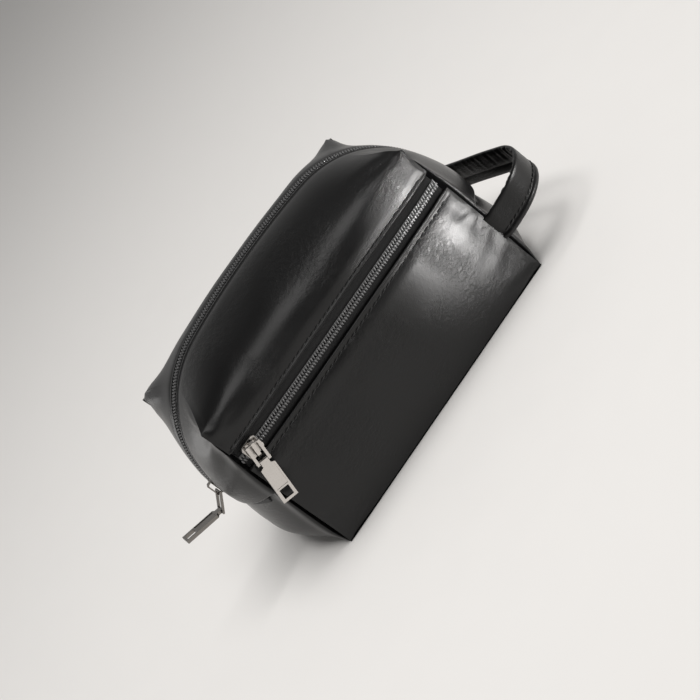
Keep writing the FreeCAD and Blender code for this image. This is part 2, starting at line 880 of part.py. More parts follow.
def place_main_pull():
    """Slider on the left end just above the level seam, its pull hanging out."""
    angle = math.radians(MAIN_SLIDER_REST)
    outward = Vector(-math.cos(angle), 0, math.sin(angle))
    along = Vector(math.sin(angle), 0, math.cos(angle))
    across = outward.cross(along)
    center = Vector(size("corner_radius") - size("end_reach"), 0, size("corner_center_height"))
    seat = center + outward * size("corner_radius")
    slider = axes_placement(seat, along, across)

    pivot = seat + outward * bar_height("bail_rise") - along * size("bar_shift")
    hang = math.radians(MAIN_LINK_REST)
    link_run = Vector(-math.cos(hang), 0, -math.sin(hang))
    link = axes_placement(pivot, link_run, Vector(0, 1, 0))
    rise = math.radians(MAIN_PLATE_REST)
    plate_run = Vector(-math.cos(rise), 0, math.sin(rise))
    hinge = pivot + link_run * size("pin_offset")
    plate = axes_placement(hinge, plate_run, Vector(0, 1, 0))
    return slider, link, plate


def place_pocket_pull():
    """Slider at the left end of the pocket zip, its pull hanging down the face."""
    height = size("pocket_zip_height")
    tilt = math.asin((height - size("face_bulge_height")) / size("face_radius"))
    outward = Vector(0, -math.cos(tilt), math.sin(tilt))
    along = Vector(1, 0, 0)
    across = outward.cross(along)
    seat = Vector(POCKET_SLIDER_REST, face_depth(height), height)
    slider = axes_placement(seat, along, across)

    lean = math.radians(POCKET_LEAN)
    down = across if across.z < 0 else across * -1
    run = down * math.cos(lean) - along * math.sin(lean)
    side = outward.cross(run)
    pivot = seat + outward * bar_height("pocket_bail_rise") - run * size("bar_shift")
    link = axes_placement(pivot, run, side)
    plate = axes_placement(pivot + run * size("pin_offset"), run, side)
    return slider, link, plate


def pull_set(prefix, places, half_text, rise, bail_turn):
    """One slider with its bail, link, pin and plate, placed at rest."""
    slider_place, link_place, plate_place = places
    body = keep(slider_body(prefix + "_slider", half_text), prefix + "_slider_body")
    body.Placement = slider_place
    bail = keep(slider_bail(prefix + "_bail", rise), prefix + "_slider_bail")
    bail.Placement = slider_place * Placement(Vector(), Rotation(Vector(0, 0, 1), bail_turn))
    link = keep(pull_link(prefix + "_link"), prefix + "_pull_link")
    link.Placement = link_place
    pin = keep(pull_pin(prefix + "_pin"), prefix + "_pull_pin")
    pin.Placement = link_place
    plate = keep(pull_plate(prefix + "_plate"), prefix + "_pull_plate")
    plate.Placement = plate_place


# ------------------------------------------------------------------------ handle

def strap_path(body):
    """Middle line of the strap: out, round the bend, back to the rear seam."""
    sketch = body_sketch(body, "XY_Plane", size("strap_height"))
    start_x = size("strap_start")
    seam_y = size("strap_seam_y")
    run_x = size("strap_run")
    bend = size("strap_bend")
    tail_bend = size("strap_tail_bend")
    turn = (size("strap_return_x"), size("strap_return_y"))
    bend_center = (run_x, -seam_y + bend)
    # the straight return leaves the bend along its tangent through the turn point
    reach = math.dist(bend_center, turn)
    leave = heading(bend_center, turn) - math.degrees(math.acos(bend / reach))
    leave_point = on_circle(bend_center, bend, leave)
    # the tail bend is tangent to the return and to the straight rear leg
    normal = (math.cos(math.radians(leave)), math.sin(math.radians(leave)))
    inside = leave_point[0] * normal[0] + leave_point[1] * normal[1] - tail_bend
    tail_y = seam_y - tail_bend
    tail_center = ((inside - tail_y * normal[1]) / normal[0], tail_y)
    tail_start = on_circle(tail_center, tail_bend, leave)

    front = line(sketch, (start_x, -seam_y), (run_x, -seam_y))
    big = arc(sketch, bend_center, bend, -90, leave)
    straight = line(sketch, leave_point, tail_start)
    small = arc(sketch, tail_center, tail_bend, leave, 90)
    rear = line(sketch, (tail_center[0], seam_y), (start_x, seam_y))
    join(sketch, front, 2, big, 1, smooth=True)
    join(sketch, big, 2, straight, 1, smooth=True)
    join(sketch, straight, 2, small, 1, smooth=True)
    join(sketch, small, 2, rear, 1, smooth=True)
    sketch.addConstraint(Sketcher.Constraint("Horizontal", rear))
    pin_point(sketch, front, 1, "strap_start", "-strap_seam_y")
    pin_point(sketch, front, 2, "strap_run", "-strap_seam_y")
    pin_point(sketch, rear, 2, "strap_start", "strap_seam_y")
    bind(sketch, "strap_bend", "Radius", big)
    bind(sketch, "strap_tail_bend", "Radius", small)
    spot = sketch.addGeometry(Part.Point(Vector(turn[0], turn[1], 0)), True)
    pin_point(sketch, spot, 1, "strap_return_x", "strap_return_y")
    sketch.addConstraint(Sketcher.Constraint("PointOnObject", spot, 1, straight))
    return sketch


def strap_run(name, width_text, thick_text):
    """Rectangular strip swept along the strap's middle line."""
    body = new_body(name)
    path = strap_path(body)
    doc.recompute()
    profile = body_sketch(body, "YZ_Plane", size("strap_start"))
    low = "-strap_seam_y - (%s) / 2" % thick_text
    high = "-strap_seam_y + (%s) / 2" % thick_text
    bottom = "strap_height - (%s) / 2" % width_text
    top = "strap_height + (%s) / 2" % width_text
    polygon(profile, [(low, bottom), (high, bottom), (high, top), (low, top)])
    pipe = body.newObject("PartDesign::AdditivePipe", name + "_pipe")
    pipe.Profile = profile
    pipe.Spine = path
    doc.recompute()
    return body


def flex_drum(radius_text):
    """Drum round the line about which the strap swings."""
    drum = doc.addObject("Part::Cylinder", "drum")
    drum.setExpression("Radius", named(radius_text))
    drum.Height = FAR
    drum.Placement = Placement(Vector(0, FAR / 2, 0), Rotation(Vector(1, 0, 0), 90))
    drum.setExpression("Placement.Base.x", named("flex_x"))
    drum.setExpression("Placement.Base.z", named("strap_height"))
    return drum


def handle():
    """Folded leather sleeve over a webbing core, with the tabs sewn in the seams."""
    core_width = "strap_width - 2 * (strap_wall + core_gap)"
    core_thick = "strap_thick - 2 * (strap_wall + core_gap)"
    whole = strap_run("strap_whole", "strap_width", "strap_thick")
    hollow = strap_run("strap_hollow", "strap_width - 2 * strap_wall",
                       "strap_thick - 2 * strap_wall")
    webbing = strap_run("strap_webbing", core_width, core_thick)
    sleeve = cut(whole, hollow)
    keep(cut(sleeve, flex_drum("flex_radius")), "handle_strap")
    keep(cut(webbing, flex_drum("flex_radius")), "handle_core")
    keep(common(whole, flex_drum("tab_radius")), "handle_seam_tabs")


# ---------------------------------------------------------------------- assembly

keep(front_panel(), "front_panel")
keep(top_front_panel(), "top_front_panel")
keep(rear_panel(), "rear_panel")
keep(base_panel(), "base_panel")
keep(front_padding(), "front_padding")
keep(rear_padding(), "rear_padding")
keep(corner_bindings(), "corner_seam_bindings")
keep(end_bindings(), "end_seam_bindings")
keep(pocket_bag(), "pocket_bag")
keep(lining(), "lining")
keep(base_board(), "base_board")
keep(main_tape(-1), "main_zip_tape_front")
keep(main_tape(1), "main_zip_tape_rear")
keep(main_coil(-1), "main_zip_coil_front")
keep(main_coil(1), "main_zip_coil_rear")
keep(pocket_strip("tape_front", "tape_back", 1, "tape_half"), "pocket_zip_tape_upper")
keep(pocket_strip("tape_front", "tape_back", -1, "tape_half"), "pocket_zip_tape_lower")
keep(pocket_strip("coil_top", "coil_bottom", 1, "chain_half"), "pocket_zip_coil_upper")
keep(pocket_strip("coil_top", "coil_bottom", -1, "chain_half"), "pocket_zip_coil_lower")
keep(stitch_row("(pocket_zip_height + row_above)"), "pocket_stitching_upper")
keep(stitch_row("(pocket_zip_height - row_below)"), "pocket_stitching_lower")
pull_set("main", place_main_pull(), "slider_half", "bail_rise", 0)
pull_set("pocket", place_pocket_pull(), "pocket_slider_half", "pocket_bail_rise", 90 - POCKET_LEAN)
handle()
doc.recompute()

failed = []
for item in doc.Objects:
    if "Invalid" in item.State or "Error" in item.State:
        failed.append("%s: %s" % (item.Name, item.State))
for item in finished:
    if item.Shape.isNull() or not item.Shape.isValid():
        failed.append("%s: shape is empty or not valid" % item.Label)
if failed:
    raise RuntimeError("; ".join(failed))

os.makedirs(PARTS_FOLDER, exist_ok=True)
for item in finished:
    item.Shape.exportStep(os.path.join(PARTS_FOLDER, item.Label + ".step"))
    box = item.Shape.BoundBox
    print("%-26s solids %d  volume %10.1f  x %7.1f %7.1f  y %7.1f %7.1f  z %7.1f %7.1f" % (
        item.Label, len(item.Shape.Solids), item.Shape.Volume,
        box.XMin, box.XMax, box.YMin, box.YMax, box.ZMin, box.ZMax))
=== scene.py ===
import math

import bpy
import numpy as np
from mathutils import Matrix, Vector
from mathutils.bvhtree import BVHTree


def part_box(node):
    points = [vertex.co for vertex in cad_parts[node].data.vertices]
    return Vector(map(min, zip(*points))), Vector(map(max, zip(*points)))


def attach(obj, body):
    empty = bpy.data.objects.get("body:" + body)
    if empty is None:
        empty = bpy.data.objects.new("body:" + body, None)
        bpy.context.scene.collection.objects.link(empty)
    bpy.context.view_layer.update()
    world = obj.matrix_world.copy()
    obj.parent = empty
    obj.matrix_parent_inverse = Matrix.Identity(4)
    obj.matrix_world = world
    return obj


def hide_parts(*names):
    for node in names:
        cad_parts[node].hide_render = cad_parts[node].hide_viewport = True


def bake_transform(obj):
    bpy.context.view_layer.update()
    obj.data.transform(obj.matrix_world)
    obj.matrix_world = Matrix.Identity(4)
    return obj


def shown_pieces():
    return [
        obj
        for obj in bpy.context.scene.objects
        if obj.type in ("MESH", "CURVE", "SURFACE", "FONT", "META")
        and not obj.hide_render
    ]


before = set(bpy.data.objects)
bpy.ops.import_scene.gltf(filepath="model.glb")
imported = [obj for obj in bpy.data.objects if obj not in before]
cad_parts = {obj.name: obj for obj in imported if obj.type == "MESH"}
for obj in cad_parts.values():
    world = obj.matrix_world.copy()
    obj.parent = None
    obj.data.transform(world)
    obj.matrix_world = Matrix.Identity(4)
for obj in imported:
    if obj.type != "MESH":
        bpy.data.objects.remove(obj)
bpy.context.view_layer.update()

MM = 0.001

# ------------------------------------------------------------- sizes, millimetres
# The same outlines as the CAD form: origin at the centre of the base, +Z up,
# pocket side towards -Y.  Heights and lips are read from the CAD nodes.


def cad_box(node):
    low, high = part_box(node)
    return [c / MM for c in low], [c / MM for c in high]


BASE = cad_box("base_panel")
FRONT = cad_box("front_panel")
TOP = cad_box("top_front_panel")
COIL_UP = cad_box("pocket_zip_coil_upper")
COIL_LOW = cad_box("pocket_zip_coil_lower")
ROW_UP = cad_box("pocket_stitching_upper")
ROW_LOW = cad_box("pocket_stitching_lower")
STRAP = cad_box("handle_strap")

REACH = BASE[1][0]                       # end panels, from the middle
HALF_X = FRONT[1][0] + 0.2               # boxed corners
HALF_Y = 67.5
PINCH_Z = 138.0                          # top of the vertical seams
SEAM_Z = BASE[1][2] + 0.2                # level seam across each end
ZIP_Z = (COIL_UP[0][2] + COIL_LOW[1][2]) / 2
LIP_LOW_Z = ZIP_Z - 8.7                  # folded lips of the pocket mouth
LIP_HIGH_Z = ZIP_Z + 9.9
MAIN_LIP = abs(TOP[1][1])
CORNER_Z, CORNER_R = 80.0, 83.5          # main zip round the top corners
CROWN_R = 642.0
FOOT_Z = 30.0                            # widest height of the lower flaps
INSET = REACH - CORNER_R
CROWN_Z = CORNER_Z - math.sqrt((CROWN_R - CORNER_R) ** 2 - INSET ** 2)
TURN = math.atan2(INSET, CORNER_Z - CROWN_Z)
FOOT_R = ((REACH - HALF_X) ** 2 + FOOT_Z ** 2) / (2 * (REACH - HALF_X))
FACE_R, FACE_Z = 960.0, 62.0             # bulge of the long faces
ROOF_R = 95.0                            # roof seen from the end
ROOF_FLAT = math.sqrt(ROOF_R ** 2 - HALF_Y ** 2)
RIDGE_X = 102.0                          # where the pinch ridge meets the main zip
CELL = 3.0                               # rough height of the quads of a long face
SWELL = 4.5                              # how far a filled face puffs out

rng = np.random.default_rng(11)
WAVES = [(rng.normal(size=3), rng.uniform(0, 6.28), rng.uniform(38, 95)) for _ in range(12)]


# ---------------------------------------------------------------- small maths

def unit(v):
    return v / np.maximum(np.linalg.norm(v, axis=-1, keepdims=True), 1e-9)


def smooth(t):
    t = np.clip(t, 0.0, 1.0)
    return t * t * (3 - 2 * t)


def bell(d, width):
    return np.exp(-(d / width) ** 2)


def mix(a, b, t):
    return a + (b - a) * t


def graded(count, crowding=0.75):
    """Values from 0 to 1 that crowd towards both ends, where seams and lips are."""
    even = np.linspace(0, 1, count)
    return even - crowding * np.sin(2 * math.pi * even) / (2 * math.pi)


# ---------------------------------------------------------------- outline curves

def path_polyline():
    """Main zip path in XZ from the left level seam to the right one."""
    corner = np.linspace(math.pi, math.pi / 2 + TURN, 60)
    left = np.stack([-INSET + CORNER_R * np.cos(corner), CORNER_Z + CORNER_R * np.sin(corner)], 1)
    crown = np.linspace(-TURN, 0, 60)
    half_top = np.stack([CROWN_R * np.sin(crown), CROWN_Z + CROWN_R * np.cos(crown)], 1)
    half = np.vstack([[[-REACH, SEAM_Z - 4.0]], left, half_top[1:]])
    other = half[::-1][1:] * np.array([-1.0, 1.0])
    return np.vstack([half, other])


PATH = path_polyline()
PATH_LENGTH = np.concatenate([[0], np.cumsum(np.linalg.norm(np.diff(PATH, axis=0), axis=1))])


def path_at(length):
    """(x, z) of the main zip path at a distance along it."""
    x = np.interp(length, PATH_LENGTH, PATH[:, 0])
    z = np.interp(length, PATH_LENGTH, PATH[:, 1])
    return x, z


def path_where_x(x):
    return float(np.interp(x, PATH[5:-5, 0], PATH_LENGTH[5:-5]))


def roof_profile(t):
    """1 at the zip, 0 at the seam or shoulder line."""
    drop = np.sqrt(np.maximum(ROOF_R ** 2 - (HALF_Y * t) ** 2, 0)) - ROOF_FLAT
    return drop / (ROOF_R - ROOF_FLAT)


def face_y(x, z):
    """How far a long face stands out from the middle plane."""
    bulge = np.sqrt(FACE_R ** 2 - (z - FACE_Z) ** 2) - math.sqrt(FACE_R ** 2 - FACE_Z ** 2)
    swell = SWELL * (1 - np.clip(np.abs(x) / HALF_X, 0, 1) ** 3) * np.sin(np.clip(z / 120, 0, 1) * math.pi)
    return HALF_Y + bulge + swell


def end_x(z):
    """How far an end stands out on the middle plane, below the main zip."""
    foot = REACH - FOOT_R + np.sqrt(np.maximum(FOOT_R ** 2 - (z - FOOT_Z) ** 2, 0))
    return np.where(z < FOOT_Z, foot, REACH)


# ---------------------------------------------------------------- bare surfaces
# Each returns a grid of points, front side (y < 0); mirrored for the rear.

def roof_grid(lengths, seam_points, t_values):
    """Loft from the main zip to the seam or shoulder line, rows by t."""
    x, z = path_at(np.asarray(lengths))
    zip_side = np.stack([x, z], -1)
    t = np.asarray(t_values)[:, None, None]
    xz = seam_points[None] + (zip_side - seam_points)[None] * roof_profile(t)
    y = np.broadcast_to(-HALF_Y * t, xz[..., :1].shape)
    return np.concatenate([xz[..., :1], y, xz[..., 1:]], -1)


def roof_rows():
    """Loft shares from the main zip's lip out to the seam or shoulder."""
    return mix((MAIN_LIP + 0.4) / HALF_Y, 1.0, graded(34, 0.8))


def flap_grid(side, front):
    """Upper quarter of an end: zip to vertical seam, level seam to ridge."""
    ridge = path_where_x(-RIDGE_X)
    share = graded(40, 0.7)
    lengths = mix(2.0, ridge, share)
    seam_z = mix(SEAM_Z - 2.0, PINCH_Z, share)
    seam = np.stack([np.full(len(share), -HALF_X), seam_z], -1)
    grid = roof_grid(lengths, seam, roof_rows())
    grid[..., 0] *= -side
    grid[..., 1] *= front
    return grid


def roof_panel_grid(front, low_z):
    """Middle of the roof, then over the shoulder and down the long face."""
    start, stop = path_where_x(-RIDGE_X), path_where_x(RIDGE_X)
    share = graded(101)
    x_edge = mix(-HALF_X, HALF_X, share)
    shoulder = np.stack([x_edge, np.full(len(share), PINCH_Z)], -1)
    top = roof_grid(mix(start, stop, share), shoulder, roof_rows())
    down = (PINCH_Z - low_z) / CELL
    heights = mix(PINCH_Z, low_z, graded(int(down * 1.5) + 4, 0.7))[1:]
    face = np.zeros((len(heights), len(share), 3))
    face[..., 0] = x_edge[None]
    face[..., 2] = heights[:, None]
    face[..., 1] = -face_y(face[..., 0], face[..., 2])
    grid = np.concatenate([top, face], 0)
    soften_shoulder(grid, top.shape[0] - 1)
    grid[..., 1] *= front
    return grid


def soften_shoulder(grid, crease):
    """Round the fold between roof and face, least at the pinched corners."""
    share = 1 - (np.abs(grid[crease, :, 0]) / HALF_X) ** 4
    share = np.clip(share, 0, 1)[:, None]
    middle = grid[:, grid.shape[1] // 2]
    along = np.concatenate([[0], np.cumsum(np.linalg.norm(np.diff(middle, axis=0), axis=1))])
    away = (along - along[crease])[:, None, None]
    reach = bell(away, 20.0)
    grid += np.array([0, -0.5, 0.85]) * 2.6 * bell(away, 11.0) * share[None]
    for _ in range(150):
        mean = (grid[:-2] + grid[2:]) / 2
        grid[1:-1] += (mean - grid[1:-1]) * 0.5 * share[None] * reach[1:-1]


def front_grid():
    top = LIP_LOW_Z - 0.8
    xs = mix(-HALF_X, HALF_X, graded(101))
    zs = mix(1.3, top, graded(46, 0.8))
    x, z = np.meshgrid(xs, zs)
    return np.stack([x, -face_y(x, z), z], -1)


def lower_flap_grid(side):
    """Lower half of an end, from the base up to just behind the level seam."""
    ys = mix(-1, 1, graded(57))
    zs = mix(0.0, SEAM_Z + 4.0, graded(34, 0.6))
    t, z = np.meshgrid(ys, zs)
    reach = end_x(np.minimum(z, SEAM_Z))
    x = HALF_X + (reach - HALF_X) * roof_profile(np.abs(t))
    return np.stack([side * x, HALF_Y * t, z], -1)


def bottom_grid():
    x, y = np.meshgrid(mix(-HALF_X, HALF_X, graded(61)), mix(-HALF_Y, HALF_Y, graded(57)))
    return np.stack([x, y, np.zeros_like(x)], -1)


# ---------------------------------------------------------------- soft shaping

def grid_normals(grid):
    du = np.gradient(grid, axis=1)
    dv = np.gradient(grid, axis=0)
    n = unit(np.cross(du, dv))
    center = np.array([0, 0, 70.0])
    outward = np.sum(n * (grid - center), -1, keepdims=True)
    return n * np.where(np.sum(outward) < 0, -1.0, 1.0)


def corner_away(p):
    """Distance in plan from the nearest vertical seam."""
    return np.hypot(np.abs(p[..., 0]) - HALF_X, np.abs(p[..., 1]) - HALF_Y)


def seam_groove(p, on_end):
    """Long faces roll over at the vertical seams; the ends dive in behind them."""
    sx, sy = np.sign(p[..., 0]), np.sign(p[..., 1])
    away = corner_away(p)
    run_out = np.where(sy > 0, 48.0, 22.0)
    below = smooth((PINCH_Z - 2 - p[..., 2]) / run_out) * mix(0.3, 1.0, smooth(p[..., 2] / 18))
    if on_end:
        back = HALF_Y - np.abs(p[..., 1])
        dive = 6.5 * bell(back, 1.5) * below
        pillow = np.where(sx < 0, 2.0, 2.6) * bell(back - 4.8, 3.4) * below
        return np.stack([sx * (0.3 * pillow - 0.3 * dive), sy * (pillow - dive), np.zeros_like(dive)], -1)
    roll = 1.0 * bell(away, 1.8) * below
    dip = 0.7 * bell(away - 9, 7.0) * below
    return np.stack([-sx * 0.5 * roll, -sy * (roll + dip), np.zeros_like(roll)], -1)


def rear_tips(p):
    """The back's pinched corners stand wider and its shoulder sags between them."""
    away = np.hypot(corner_away(p), p[..., 2] - PINCH_Z)
    reach = np.where(p[..., 0] < 0, 3.6, 1.2) * bell(away, 42.0)
    middle = np.clip(1 - (p[..., 0] / HALF_X) ** 2, 0, 1)
    sag = 7.0 * middle * bell(np.hypot(np.abs(p[..., 1]) - HALF_Y, p[..., 2] - PINCH_Z), 36.0)
    shift = np.stack([0.25 * np.sign(p[..., 0]) * reach, 0.1 * reach, reach - sag], -1)
    return shift * (p[..., 1:2] > 0) * smooth(p[..., 1:2] / 12)


def end_swell(p, upper):
    """Upper flap puffs over the level seam; the lower flap falls back under it."""
    on_end = smooth((np.abs(p[..., 0]) - HALF_X) / 8)
    share = np.clip(np.abs(p[..., 1]) / HALF_Y, 0, 1)
    tongue = np.sin(math.pi * share ** 0.85)
    if upper:
        return (2.4 * bell(p[..., 2] - SEAM_Z - 7, 15) * tongue + 0.5) * on_end
    recess = -4.6 * bell(p[..., 2] - SEAM_Z, 13) * (1 - share ** 4) - 0.8
    return (recess + 2.2 * bell(p[..., 2] - 32, 17) * tongue) * on_end


def tongue_drop(p):
    """The upper flap's lower edge bows down between the zip and the seam."""
    share = np.clip(np.abs(p[..., 1]) / HALF_Y, 0, 1)
    drop = 4.5 * np.sin(math.pi * share) * bell(p[..., 2] - SEAM_Z, 12)
    return np.stack([np.zeros_like(drop), np.zeros_like(drop), -drop], -1)


def lip_beads(p):
    """Raised lips along both zips, sunk stitch rows and soft pads beyond them."""
    on_face = smooth((np.abs(p[..., 1]) - HALF_Y + 3) / 3) * smooth((HALF_X + 1 - np.abs(p[..., 0])) / 4)
    on_face = on_face * (p[..., 1] < 0)
    up = (ROW_UP[0][2] + ROW_UP[1][2]) / 2
    low = (ROW_LOW[0][2] + ROW_LOW[1][2]) / 2
    z = p[..., 2]
    height = np.zeros(p.shape[:-1])
    for row, lip, away in ((up, LIP_HIGH_Z, 1), (low, LIP_LOW_Z, -1)):
        height += 0.6 * bell(z - lip - 0.4 * away, 1.0)
        height -= 0.4 * bell(z - row, 1.0)
        height += 0.6 * bell(z - row - 7 * away, 5.5)
    y = np.abs(p[..., 1])
    above = smooth((z - SEAM_Z + 2) / 4)
    main = 0.55 * bell(y - MAIN_LIP - 0.9, 1.1) - 0.45 * bell(y - MAIN_LIP - 3.4, 1.2)
    main -= 0.9 * bell(y - MAIN_LIP, 6)
    return height * on_face + main * above


def undulation(p):
    total = np.zeros(p.shape[:-1])
    for direction, phase, length in WAVES:
        wave = p @ (direction / np.linalg.norm(direction))
        total += np.sin(wave * 2 * math.pi / length + phase) * length / 420
    return total


CREASES = [
    # start, end, half width, height
    ((-121, -68, 138), (-104, -24, 147), 4.0, 0.9),
    ((-119, -68, 135), (-84, -60, 142), 5.0, -0.8),
    ((-119, -69, 130), (-96, -70, 118), 4.0, 0.5),
    ((-122, -64, 132), (-133, -30, 112), 5.0, 0.8),
    ((-123, -62, 120), (-138, -28, 92), 6.0, -0.8),
    ((121, -68, 138), (104, -24, 147), 4.0, -0.9),
    ((119, -68, 135), (86, -60, 143), 4.5, 1.0),
    ((119, -66, 138), (74, -48, 151), 6.0, -0.9),
    ((122, -64, 132), (133, -28, 112), 5.0, -0.9),
    ((118, -69, 69), (98, -71, 76), 2.4, 0.55),
    ((118, -69, 62), (97, -71, 59), 2.6, -0.45),
    ((118, -69, 55), (99, -71, 46), 2.8, 0.5),
    ((118, -69, 48), (84, -71, 40), 5.0, -0.4),
    ((118, -69, 30), (92, -70, 24), 4.0, -0.5),
    ((-118, -69, 84), (-96, -71, 76), 3.4, 0.6),
    ((-118, -69, 26), (-88, -70, 16), 4.5, -0.6),
    ((-119, -67, 4), (-70, -68, 12), 4.5, 0.6),
    ((119, -67, 4), (80, -68, 13), 4.5, -0.6),
    ((-121, 68, 138), (-104, 24, 147), 4.0, -0.9),
    ((121, 68, 138), (104, 24, 147), 4.0, 0.9),
    ((-119, 68, 134), (-80, 66, 120), 5.0, 0.8),
    ((119, 68, 134), (82, 66, 122), 5.0, -0.8),
    ((-118, 69, 60), (-90, 71, 52), 4.0, 0.6),
    ((118, 69, 52), (94, 71, 60), 4.0, 0.6),
]


RIDGES = [
    # start, end, half width, height
    ((-120, 68, 138), (-106, 24, 150), 13.0, 2.8),
    ((120, 68, 138), (106, 24, 150), 13.0, 2.8),
    ((-121, 66, 134), (-134, 50, 94), 15.0, 2.2),
    ((121, 66, 134), (134, 50, 94), 15.0, 2.0),
    ((-121, -68, 138), (-104, -20, 148), 5.0, 0.9),
    ((121, -68, 138), (107, -28, 147), 5.5, 1.4),
]


def ridge_height(p):
    """Rounded ridges that run from the pinched corners up the roof."""
    total = np.zeros(p.shape[:-1])
    for start, end, width, height in RIDGES:
        a, b = np.array(start, float), np.array(end, float)
        along = np.clip((p - a) @ (b - a) / np.sum((b - a) ** 2), 0, 1)
        far = np.linalg.norm(p - a - along[..., None] * (b - a), axis=-1)
        total += height * bell(far, width) * smooth((1 - along) / 0.8) * smooth(along / 0.25)
    return total


def crease_height(p, n):
    """Soft folds: one side of the line rises and the other sinks."""
    total = np.zeros(p.shape[:-1])
    for start, end, width, height in CREASES:
        a, b = np.array(start, float), np.array(end, float)
        run = b - a
        length = np.linalg.norm(run)
        run = run / length
        rel = p - a
        along = rel @ run / length
        side = np.cross(n, run)
        off = np.sum(rel * side, -1)
        far = np.linalg.norm(rel - (rel @ run)[..., None] * run, axis=-1)
        fade = smooth((along + 0.12) / 0.2) * smooth((1.1 - along) / 0.9)
        wave = (off / width) * np.exp(0.5 - (off / width) ** 2 / 2)
        total += height * (wave + 0.5 * bell(off, width)) * fade * bell(far, 4 * width)
    return total


def shape(grid, part="face"):
    """Pull seams in, swell the ends and lay soft folds on a bare grid."""
    n = grid_normals(grid)
    calm = smooth((np.abs(grid[..., 1]) - 7) / 26)
    height = undulation(grid) * 0.75 * calm * smooth((grid[..., 2]) / 10)
    height += crease_height(grid, n) + ridge_height(grid)
    height += lip_beads(grid)
    if part != "face":
        height += end_swell(grid, part == "upper end")
    edge = smooth(corner_away(grid) / 8)
    shift = seam_groove(grid, part != "face") + rear_tips(grid)
    if part == "upper end":
        shift += tongue_drop(grid)
    return grid + n * (height * mix(0.2, 1.0, edge))[..., None] + shift


# ---------------------------------------------------------------- hems and tucks

HEM = [(0.6, -0.1), (1.05, -0.5), (1.2, -1.1), (1.0, -1.7), (0.3, -2.1), (-1.5, -2.3)]
TUCK = [(0.1, -0.5), (0.1, -1.4), (-0.1, -3.0), (-0.5, -5.5)]
FOLD = [(0.8, -0.3), (1.3, -1.1), (1.4, -2.2), (0.7, -3.2), (-1.5, -3.8)]


def border_frame(grid, side):
    """Border points of a grid with outward and upward directions."""
    n = grid_normals(grid)
    take = {"top": (0, 1), "bottom": (-1, -2), "left": (0, 1), "right": (-1, -2)}[side]
    if side in ("top", "bottom"):
        edge, inner, up = grid[take[0]], grid[take[1]], n[take[0]]
    else:
        edge, inner, up = grid[:, take[0]], grid[:, take[1]], n[:, take[0]]
    out = unit(edge - inner)
    return edge, out, up


def fold_edge(grid, side, profile):
    """Add rows beyond one border that roll the leather's edge under."""
    edge, out, up = border_frame(grid, side)
    if profile is TUCK:
        up = unit(edge * np.array([0.6 / HALF_X, 0.8 / HALF_Y, 0.0]))
        fade = 0.03 + 0.97 * smooth((PINCH_Z - 2 - edge[:, 2:]) / 16)
        out, up = out * fade, up * fade
    extra = [edge + out * a + up * b for a, b in profile]
    axis = 0 if side in ("top", "bottom") else 1
    if side in ("top", "left"):
        return np.concatenate([np.stack(extra[::-1], axis), grid], axis)
    return np.concatenate([grid, np.stack(extra, axis)], axis)


# ---------------------------------------------------------------- mesh building

def mesh_object(name, verts, faces, smooth_shade=True):
    mesh = bpy.data.meshes.new(name)
    mesh.from_pydata((np.asarray(verts) * MM).tolist(), [], faces)
    mesh.validate()
    mesh.polygons.foreach_set("use_smooth", [smooth_shade] * len(mesh.polygons))
    obj = bpy.data.objects.new(name, mesh)
    bpy.context.scene.collection.objects.link(obj)
    return obj


def grid_faces(rows, cols, offset=0, wrap=False):
    faces = []
    for i in range(rows - 1):
        for j in range(cols if wrap else cols - 1):
            k = (j + 1) % cols
            a = offset + i * cols
            faces.append((a + j, a + k, a + cols + k, a + cols + j))
    return faces


def sheet_object(name, grids):
    """One mesh from several grids, welded where their points meet."""
    verts, faces = [], []
    offset = 0
    for grid in grids:
        rows, cols = grid.shape[:2]
        quads = grid_faces(rows, cols, offset)
        n = grid_normals(grid)[rows // 2, cols // 2]
        a, b, c, _ = (grid.reshape(-1, 3)[k - offset] for k in quads[(rows // 2) * (cols - 1) + cols // 2])
        if np.dot(np.cross(b - a, c - a), n) < 0:
            quads = [tuple(reversed(q)) for q in quads]
        verts.append(grid.reshape(-1, 3))
        faces += quads
        offset += rows * cols
    obj = mesh_object(name, np.vstack(verts), faces)
    if len(grids) > 1:
        weld = obj.modifiers.new("weld", "WELD")
        weld.merge_threshold = 0.05 * MM
    subdivide(obj, 1)
    return obj


def subdivide(obj, levels):
    soft = obj.modifiers.new("soft", "SUBSURF")
    soft.levels = levels
    soft.render_levels = levels


def tube(path, ups, outline):
    """Vertices and faces of an outline carried along a path, with closed ends."""
    path, ups = np.asarray(path, float), np.asarray(ups, float)
    run = unit(np.gradient(path, axis=0))
    side = unit(np.cross(run, ups))
    up = np.cross(side, run)
    outline = np.asarray(outline, float)
    if outline.ndim == 2:
        outline = np.broadcast_to(outline, (len(path),) + outline.shape)
    rings = path[:, None] + side[:, None] * outline[..., :1] + up[:, None] * outline[..., 1:]
    rows, cols = rings.shape[:2]
    faces = grid_faces(rows, cols, wrap=True)
    faces.append(tuple(range(cols))[::-1])
    faces.append(tuple(range((rows - 1) * cols, rows * cols)))
    return rings.reshape(-1, 3), faces


def repeat(unit_verts, unit_faces, frames):
    """Copies of a small mesh placed by (origin, x, y, z) frames."""
    verts, faces = [], []
    for index, (origin, ax, ay, az) in enumerate(frames):
        verts.append(origin + unit_verts[:, :1] * ax + unit_verts[:, 1:2] * ay + unit_verts[:, 2:] * az)
        offset = index * len(unit_verts)
        faces += [tuple(k + offset for k in face) for face in unit_faces]
    return np.vstack(verts), faces


